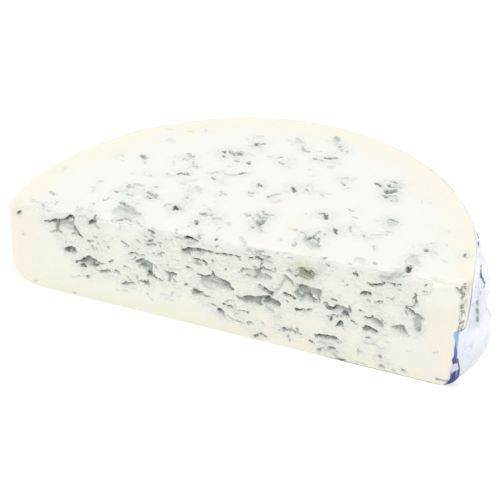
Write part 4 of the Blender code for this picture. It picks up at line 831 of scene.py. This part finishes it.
def plainPaste(f, z, under, skin, haze, middle, fine):
    # cream paste, whiter within, yellower down the front and greyer round the veins
    slow = f.grain(26, detail=2)
    inner = f.fade(slow + f.fade(skin, 9, 24) * 0.22, 0.38, 0.64)
    paste = f.mix(inner, pasteLook["cream"], pasteLook["white"])
    outer = 1 - f.fade(skin.least(z * 1.5) + middle * 8, 6, 20)
    paste = f.mix(outer * 0.8, paste, pasteLook["rim"])
    front = f.fade(under, 0.5, 7)
    deep = f.mix(1 - f.fade(skin + middle * 8, 6, 20), pasteLook["deep"], pasteLook["blush"])
    paste = f.mix(front * 0.38, paste, deep)
    hazy = haze * (0.3 + 0.7 * f.fade(middle, 0.28, 0.62)) * (0.85 - 0.53 * front)
    paste = f.mix(hazy, paste, pasteLook["haze"])
    # white crumbs, more of them beside the veins: partly real crumbs, partly a painted highlight on their
    # raised edges
    paste = f.mix(f.fade(fine + haze * 0.1, 0.6, 0.68) * 0.5, paste, pasteLook["crumb"])
    for place, size, strength, colour in pasteSpots:
        paste = f.mix(f.spot(place, size, (middle + fine) * 0.5) * strength, paste, colour)
    return paste


def mouldMarks(f, haze):
    # small flecks, hair cracks and pepper round the veins
    specks = f.grain(1.9, 1.9, 0.95, detail=4, shift=11)
    flecks = f.fade(specks + haze * 0.14, 0.57, 0.66) * f.fade(haze, 0.1, 0.5)
    cracks = 1 - f.fade(f.network(4.2, 4.2, 2.2, 0.9), 0.02, 0.1)
    cracks = cracks * f.fade(haze, 0.2, 0.6) * f.fade(f.grain(4, shift=31), 0.47, 0.58)
    dust = f.grain(0.8, 0.8, 0.55, detail=2, shift=71)
    pepper = f.fade(dust + haze * 0.12, 0.6, 0.7) * f.fade(haze, 0.12, 0.5)
    return (flecks * 0.5).most(cracks * 0.5).most(pepper * 0.45)


def rindOver(f, colour, x, z, under, back, skin, middle, fine):
    # the thin rind on the wall, blotched with olive; the left corner is all paste
    behind = f.fade(back - 3 * f.fade(0 - x, 0, 1), 0.2, 0.8)
    thick = 2.4 * f.fade(x, 70, 85) * (1 - f.fade(back, 3, 5))
    thin = f.fade(skin.least(z) - thick + (fine - 0.5) * 0.8, 0.25, 0.65)
    rind = (1 - thin) * behind * f.fade(under + middle, 1.3, 2.2)
    brink = 1 - f.fade(back, 1.5, 4.0)
    blotches = f.fade(f.grain(1.2, 1.2, 1.7, shift=51, detail=4) + brink * 0.15, 0.6, 0.7)
    blotches = blotches * (0.75 - 0.5 * f.fade(back, 3.5, 6.5))
    rindColour = f.mix(f.fade(f.grain(6, shift=57), 0.4, 0.6), pasteLook["rind"], pasteLook["husk"])
    return rind, f.mix(rind, colour, f.mix(blotches, rindColour, pasteLook["blotch"]))


def pasteFinish():
    f = Finish("cheesePaste")
    fields = ("inside", "dark", "haze", "lipShade", "skin")
    inside, dark, haze, lipShade, skin = (f.attribute(name) for name in fields)
    x, y, z = f.axes()
    back = y - wheel["frontY"]
    under = wheel["height"] + x * (wheel["slant"] / wheel["radius"]) - z
    middle, fine = f.grain(5, shift=3), f.grain(1.1, shift=7)
    paste = plainPaste(f, z, under, skin, haze, middle, fine)

    # crumbs of paste and mould along the outlines
    crumb, crumbTone = f.crumbs(1.5, 1.5, 1.0, 0), f.crumbs(0.9, 0.9, 0.7, 5)
    torn = f.grain(3.2, 3.2, 0.8, detail=4, rough=0.6, shift=81)
    grit = f.grain(0.6, 0.6, 0.45, detail=2, shift=91)
    edge = inside + (middle - 0.5) * 0.9 + (fine - 0.5) * 1.2 + (torn - 0.5) * 1.1 + (grit - 0.5) * 1.2
    edge = edge + (crumb - 0.5) * 0.25 + (crumbTone - 0.5) * 0.2
    softness = 0.22 + (1 - dark) * 0.6
    vein = f.fade(edge, 0 - softness, softness)
    rough = 0.28 + 0.7 * f.grain(1.9, 1.9, 1.1, shift=41) + 0.25 * crumbTone + 0.5 * grit
    # painted shade: each opening is darker under its upper lip and paler on its floor
    tone = dark * (0.82 + lipShade * 0.42) * rough

    marks = mouldMarks(f, haze)
    cover = vein.most(marks)
    # the mould's colour darkens with the stroke's tone: its own colour and painted shade of the openings
    depth = (vein * tone).most(marks * 0.6)
    mould = f.add("ShaderNodeValToRGB", {"stops": pasteLook["mouldShadeRamp"]}, {"Fac": depth})
    colour = f.mix(cover, paste, mould)
    for place, size, strength, stain in mouldSpots:
        colour = f.mix(f.spot(place, size, fine * 0.5 + grit * 0.5) * cover * strength, colour, stain)

    rind, colour = rindOver(f, colour, x, z, under, back, skin, middle, fine)
    # a dark line where the right half stands on its sole
    sole = (1 - f.fade(z + (fine - 0.5) * 1.6, 0.2, 0.7)) * f.fade(x + (middle - 0.5) * 20, 40, 50) * 0.55
    colour = f.mix(sole, colour, pasteLook["sole"])

    drag = f.grain(9, 9, 0.7, detail=2, shift=61)     # the knife dragged along the paste
    relief = drag * 0.35 + middle * 0.6 + fine * 0.35 - cover * 0.5
    f.set(Base_Color=colour, Roughness=pasteLook["roughness"] + cover * 0.3 + rind * 0.15)
    f.set(Normal=f.bump(relief, *pasteLook["relief"]), IOR=pasteLook["refraction"])
    f.set(Subsurface_Weight=pasteLook["glow"], Subsurface_Radius=pasteLook["glowColour"])
    f.set(Subsurface_Scale=pasteLook["glowDepth"] * mm)
    return f.material


# The foil. Its angles are in degrees round the wall from the right end of the cut, and the rest is in mm.
foil = {
    "tuck": 0.1,                 # the share of the wall's section that it leaves bare under the rim
    "gap": 0.5,
    "thickness": 0.14,
    "floorGap": 0.7,
    "puff": 8.4,                 # how far it stands off at the right end
    "puffFall": 2.6,             # the higher, the nearer to the top it leans back
    "puffRise": 11,              # more and more up to this angle, and then less and less up to the next
    "puffEnd": 80,
    "skirtRound": 8.4,           # the rounding where it turns up from the floor
    "lip": 5.0,                  # how far it runs on round the upright cut edge
    "lipMore": ((20, 24, 0.5), (13, 9, 0.4), (8, 4, 0.1)),   # and how much more from one height to the next
    "closeGap": 0.1,             # the least gap, at the lip and along its upper edge
    "end": 172,                  # where it ends at the left
    "crowding": 1.35,            # above 1, its cells are closer together towards the right end
    "across": 430,               # cells
    "up": 64,
    "lipCells": 13,
    "topDrop": (0.35, 1.5, 4.5),     # how far its upper edge lies below the top: right end, back, left end
    "tear": ((0, 25.4), (6.5, 25.2), (9.2, 31), (11, 40), (11.8, 47)),   # it is torn off above here
    "hug": 6.0,                  # this near to its torn edge it lies close to the rind
    "hugShare": 0.8,             # and its gap is this much less at the tear
    # the sheet's unevenness: over what length, how high where it lies close, and how much more where loose
    "waves": (15, 0.12, 0.75),
    "facets": ((9.5, 0.3, 0.75), (3.6, 0.16, 0.1)),
}
# Violet marks on the foil, as the veins are given: along the wall from the cut, and up, in mm.
foilMarks = [
    (.5, .45, .4, 46.5, 44.6, 43.5, 44.4), (1, 1.1, 1, 40.5, 42.9, 36.6, 43.3),
    (1, .8, .7, 33.2, 43.9, 29.2, 44.2), (.45, .4, .4, 27, 42.6, 25.4, 41.4),
    (1, .5, .65, 22.8, 40.5, 20.9, 36.3), (.9, .45, .45, 21.3, 36, 20.9, 33.6, 19.8, 32.3),
    (.7, .4, .4, 18.9, 34.1, 17.1, 31.4), (.45, .4, .4, 19.8, 32.3, 16.9, 28.6, 15.1, 25.5, 13.3, 22.7),
    (.9, .5, .5, 16.9, 28.6, 16.4, 27.6), (.85, .45, .5, 15.3, 25.9, 14.9, 24.9),
    (.8, .4, .5, 13.8, 23.4, 13.1, 22.3), (.35, .4, .3, 6.5, 22.3, 9, 23.4),
    (.35, .35, .3, 4.6, 17.2, 4.8, 15), (.35, .3, .3, 5.6, 13.2, 7.2, 10.4, 9, 9.4),
    (.25, .3, .3, 12, 15, 15, 13.5),
]


def closeFoil(share, side):
    radius, height, facing = wallSection(foil["tuck"] + (1 - foil["tuck"]) * share, side)
    return Vector((radius + facing[0] * foil["gap"], height + facing[1] * foil["gap"]))


def looseFoil(share):
    # it lies on the floor under the rim, turns up, stands off by the puff and leans back to the wall's top
    floor, turnSize = foil["floorGap"], foil["skirtRound"]
    outer = wheel["radius"] + foil["gap"]
    if share < wheel["rimShare"]:
        turn = math.pi / 2 * share / wheel["rimShare"]
        inset = turnSize * (1 - math.sin(turn))
        return Vector((outer + foil["puff"] - inset, floor + (turnSize - floor) * (1 - math.cos(turn))))
    up = (share - wheel["rimShare"]) / (1 - wheel["rimShare"])
    stand = foil["puff"] * (1 - up ** foil["puffFall"])
    return Vector((outer + stand, turnSize + (wheel["height"] - turnSize) * up))


def foilTop(degrees):
    # the share of the wall up to which there is foil
    wavy = noise.noise(Vector((degrees * 0.22, 0, 0))) + 0.5 * noise.noise(Vector((degrees * 0.8, 3, 0)))
    near, far, end = foil["topDrop"]
    drop = near + (far - near) * smooth(60, 80, degrees)
    drop += (end - far) * smooth(foil["end"] - 8, foil["end"], degrees)
    whole = 1 - drop / wheel["height"] * (1 + 0.6 * wavy)
    torn = np.interp(degrees, *zip(*foil["tear"])) + 0.9 * noise.noise(Vector((degrees * 1.1, 4, 0)))
    torn += 0.5 * noise.noise(Vector((degrees * 3.5, 9, 0)))
    up = (torn - foil["skirtRound"]) / (wheel["height"] - foil["skirtRound"])
    return min(whole, wheel["rimShare"] + (1 - wheel["rimShare"]) * up)


def tornAway(arc, height):
    # how far from the torn edge
    place = Vector((arc, height, 0))
    route = [Vector((math.radians(degrees) * wheel["radius"], up, 0)) for degrees, up in foil["tear"]]
    route.insert(0, route[0] - Vector((9, 0, 0)))
    nearest = math.inf
    for first, last in zip(route, route[1:]):
        run = last - first
        along = np.clip((place - first).dot(run) / run.length_squared, 0, 1)
        nearest = min(nearest, (place - first.lerp(last, along)).length)
    return nearest


def crumple(spot, loose):
    # waves, facets and small folds of the sheet, in mm
    size, least, more = foil["waves"]
    off = (least + more * loose) * noise.noise(spot / size)
    for size, least, more in foil["facets"]:
        off += (least + more * loose) * (noise.voronoi(spot / size)[0][0] - 0.4)
    return off


def lipPlace(run):
    # The lip goes round the upright corner and on over the front. So far along it is this far in from the
    # wall and this far back from the cut.
    bend = cheese["rightCorner"] + foil["closeGap"]
    turn = min(run / bend, math.pi / 2)
    flat = run - bend * turn
    return cheese["rightCorner"] - bend * math.cos(turn) + flat, cheese["rightCorner"] - bend * math.sin(turn)


def onWall(degrees, start, up):
    # radius and height of the foil this share of the way up it, and the radius of the wall there
    top = foilTop(degrees)
    share = up * top
    turn = math.radians(degrees)
    side = math.cos(turn)
    loose = 1 - smooth(foil["puffRise"], foil["puffEnd"], degrees)
    radius, height = closeFoil(share, side).lerp(looseFoil(share), loose)
    wall = wallRadius(height, side)
    # near the tear the foil keeps to the rind
    nearTear = 1 - smooth(0, foil["hug"], tornAway(turn * wheel["radius"], height))
    gap = foil["gap"] * (1 - foil["hugShare"] * nearTear)
    rise = 2 * smooth(-foil["puffRise"], foil["puffRise"], degrees - start) - 1
    radius = wall + gap + (radius - wall - gap) * rise * (1 - nearTear)
    # it is smoother near the lip, the tear and its upper edge
    below = (top - share) * wheel["height"]
    spot = Vector((radius * side, radius * math.sin(turn), height))
    settle = smooth(0, 5, degrees) * (1 - 0.75 * nearTear) * (0.25 + 0.75 * smooth(0, 5, below))
    radius += crumple(spot, loose * smooth(2, 12, degrees)) * (0.2 + 0.8 * settle)
    # its upper edge leans against the rind
    radius += (wall + foil["closeGap"] - radius) * (1 - smooth(0, 2.5, below)) * smooth(0.7, 0.85, share)
    return max(radius, wall + foil["closeGap"]), height, wall


def makeFoil():
    bm = bmesh.new()
    bmesh.ops.create_grid(bm, x_segments=foil["across"], y_segments=foil["up"], size=1)
    lipPart = foil["lipCells"] / foil["across"]
    start = math.degrees(cheese["rightCorner"] / wheel["radius"])
    around, runs = [], []
    for vert in bm.verts:
        along, up = (vert.co.x + 1) / 2, (vert.co.y + 1) / 2
        past = max(along - lipPart, 0) / (1 - lipPart)
        degrees = start + (foil["end"] - start) * past ** foil["crowding"]
        radius, height, wall = onWall(degrees, start, up)
        turn = math.radians(degrees)
        place = toHalfWheel(radius * math.cos(turn), radius * math.sin(turn), height)
        folded = 1 - min(along / lipPart, 1)               # 1 at the very edge of the lip on the front
        run = 0
        if folded > 0:
            length = foil["lip"] + sum(more * smooth(*ends, height) for *ends, more in foil["lipMore"])
            run = folded * length * (1 + 0.15 * noise.noise(Vector((height * 0.35, 8, 0))))
            inset, back = lipPlace(run)
            place.x = (wall - inset) * mm
            place.y = (wheel["frontY"] + back) * mm
        vert.co = place
        around.append(degrees - start if run == 0 else -run)
        runs.append((turn * wheel["radius"] - run, height))
    if sum(face.normal.y * face.calc_center_median().y for face in bm.faces) < 0:
        bmesh.ops.reverse_faces(bm, faces=bm.faces)
    piece = newPiece(bm, "foilWrap")
    inside, dark, haze, _ = strokeFields(np.array(runs), foilMarks)
    for name, values in (("around", around), ("inside", inside), ("dark", dark), ("haze", haze)):
        addAttribute(piece, name, np.clip(values, -9, 200))
    piece.data.shade_smooth()
    sheet = piece.modifiers.new("thickness", "SOLIDIFY")
    sheet.thickness = foil["thickness"] * mm
    sheet.offset = 0
    return piece


foilLook = {
    "white": tint(250, 251, 252),
    "shade": tint(240, 242, 247),
    # low: painted shade on the foil near the floor
    "low": tint(216, 220, 225),
    "sky": tint(208, 222, 246),
    "azure": tint(132, 188, 240),
    "blue": tint(66, 116, 206),
    "navy": tint(40, 54, 128),
    "violet": tint(78, 78, 128),
    "lilac": tint(212, 214, 234),
    "metal": 0.2,
    "roughness": 0.36,
    "relief": (0.6, 0.6),                # how high in mm, and how strong
}


def lipPrint(f, z, middle, fine):
    # the print of the folded lip: azure at the top, navy at the floor
    low = f.mix(f.fade(z + (middle - 0.5) * 5, 6, 12), foilLook["navy"], foilLook["violet"])
    colour = f.mix(f.fade(z, 14, 18), low, f.mix(f.fade(z, 19, 24), foilLook["blue"], foilLook["azure"]))
    pale = f.fade(f.crumbs(1.8, 1.8, 2.2, 0) + (fine - 0.5), 0.5, 0.66)
    pale = pale * (1 - f.fade(z, 15, 18)) * f.fade(z, 6, 9)
    streak = f.fade(f.grain(0.7, 0.7, 7, shift=15), 0.54, 0.62) * 0.5 * f.fade(z, 3, 8)
    return f.mix(pale.most(streak), colour, foilLook["lilac"])


def foilFinish():
    f = Finish("printedFoil")
    around, inside, dark, haze = (f.attribute(name) for name in ("around", "inside", "dark", "haze"))
    z = f.axes()[2]
    middle, fine = f.grain(6, shift=2), f.grain(1.4, shift=5)
    ground = f.mix(f.fade(middle, 0.35, 0.65), foilLook["white"], foilLook["shade"])
    # painted shade: the foil is darker towards the floor
    ground = f.mix((1 - f.fade(z, 3, 28)) * 0.8, ground, foilLook["low"])
    fold = (1 - f.fade(around + middle * 3, 1, 5)) * f.fade(z, 9, 15)
    ground = f.mix(fold * 0.4, ground, foilLook["sky"])
    ground = f.mix(haze * 0.3, ground, foilLook["lilac"])
    # plain bands of print low on the wall, round the back
    edge = z + (middle - 0.5) * 1.2
    band = f.fade(edge, 4, 4.5) * (1 - f.fade(edge, 19.5, 20)) * f.fade(around + middle * 16, 66, 78)
    stripe = f.fade(edge, 23.5, 24) * (1 - f.fade(edge, 26.5, 27)) * f.fade(around + middle * 16, 70, 82)
    colour = f.mix(band, ground, foilLook["blue"])
    colour = f.mix(stripe, colour, foilLook["azure"])
    lip = 1 - f.fade(around + 0.8 + 3.0 * f.fade(z, 5, 20) + (fine - 0.5) * 0.6, -0.2, 0.2)
    colour = f.mix(lip, colour, lipPrint(f, z, middle, fine))
    marks = f.fade(inside + (fine - 0.5) * 0.7 + (middle - 0.5) * 0.4, -0.15, 0.2) * dark * (1 - lip)
    colour = f.mix(marks, colour, foilLook["violet"])
    printed = band.most(stripe).most(lip)
    # painted shade: thin violet lines along a network of creases on the plain foil
    creaseShade = 1 - f.fade(f.network(9, 9, 12, 0.8), 0.004, 0.03)
    creaseShade = creaseShade * f.fade(f.grain(8, shift=23), 0.48, 0.62)
    colour = f.mix(creaseShade * 0.3 * (1 - printed), colour, foilLook["violet"])
    relief = f.grain(4, 4, 7, detail=6, rough=0.65, shift=33)
    f.set(Base_Color=colour, Metallic=foilLook["metal"] - printed * 0.1)
    f.set(Roughness=foilLook["roughness"] + middle * 0.12, Normal=f.bump(relief, *foilLook["relief"]))
    return f.material


# The floor, the lights and the camera, in metres.
stageValues = {
    "floorSize": 4.0,
    "floorColour": tint(231, 231, 231),
    "floorGlow": 0.45,
    "skyStrength": 0.575,
    "lightPower": 8.0,
    "lightSize": 1.1,
    "lightPlace": (-0.15, -0.03, 1.2),
    "sidePower": 1.6,
    "sideSize": 0.5,
    "sidePlace": (1.0, 0.14, 0.09),
    "cameraPlace": (0.17697, -0.47044, 0.36321),
    "cameraBack": (0.2990, -0.7610, 0.5759),      # from what it looks at towards the camera
    "lens": 100,                                  # in mm
}


def makeStage():
    bm = bmesh.new()
    bmesh.ops.create_grid(bm, x_segments=1, y_segments=1, size=stageValues["floorSize"] / 2)
    floor = newPiece(bm, "floor")
    f = Finish("paleFloor")
    f.set(Base_Color=stageValues["floorColour"], Roughness=0.9, Emission_Color=(1.0, 1.0, 1.0))
    f.set(Emission_Strength=stageValues["floorGlow"])
    floor.data.materials.append(f.material)

    world = bpy.data.worlds.new("softWhite")
    world.use_nodes = True
    world.node_tree.nodes["Background"].inputs["Color"].default_value = (1, 1, 1, 1)
    world.node_tree.nodes["Background"].inputs["Strength"].default_value = stageValues["skyStrength"]
    bpy.context.scene.world = world

    # one softbox overhead and a weaker one low on the right, for the foil
    for name in ("light", "side"):
        lamp = bpy.data.lights.new(name, "AREA")
        lamp.energy = stageValues[name + "Power"]
        lamp.size = stageValues[name + "Size"]
        softbox = bpy.data.objects.new(name, lamp)
        softbox.location = stageValues[name + "Place"]
        softbox.rotation_euler = softbox.location.to_track_quat("Z", "Y").to_euler()
        bpy.context.scene.collection.objects.link(softbox)


def makeCamera():
    camera = bpy.data.cameras.new("camera")
    camera.lens = stageValues["lens"]
    camera.clip_start = 0.01
    seen = bpy.data.objects.new("camera", camera)
    seen.location = stageValues["cameraPlace"]
    seen.rotation_euler = (-Vector(stageValues["cameraBack"])).to_track_quat("-Z", "Y").to_euler()
    bpy.context.scene.collection.objects.link(seen)
    bpy.context.scene.camera = seen
    bpy.context.scene.view_settings.view_transform = "Standard"


makeStage()
makeCamera()
print("stage, light and camera ready")

wheelPiece = makeCheese()
wheelPiece.data.materials.append(pasteFinish())
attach(wheelPiece, "root")
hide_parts("cheese")
print("cheese ready:", len(wheelPiece.data.polygons), "faces")

foilPiece = makeFoil()
foilPiece.data.materials.append(foilFinish())
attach(foilPiece, "root")
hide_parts("wrapper")
print("foil ready:", len(foilPiece.data.polygons), "faces")

print("all pieces ready")
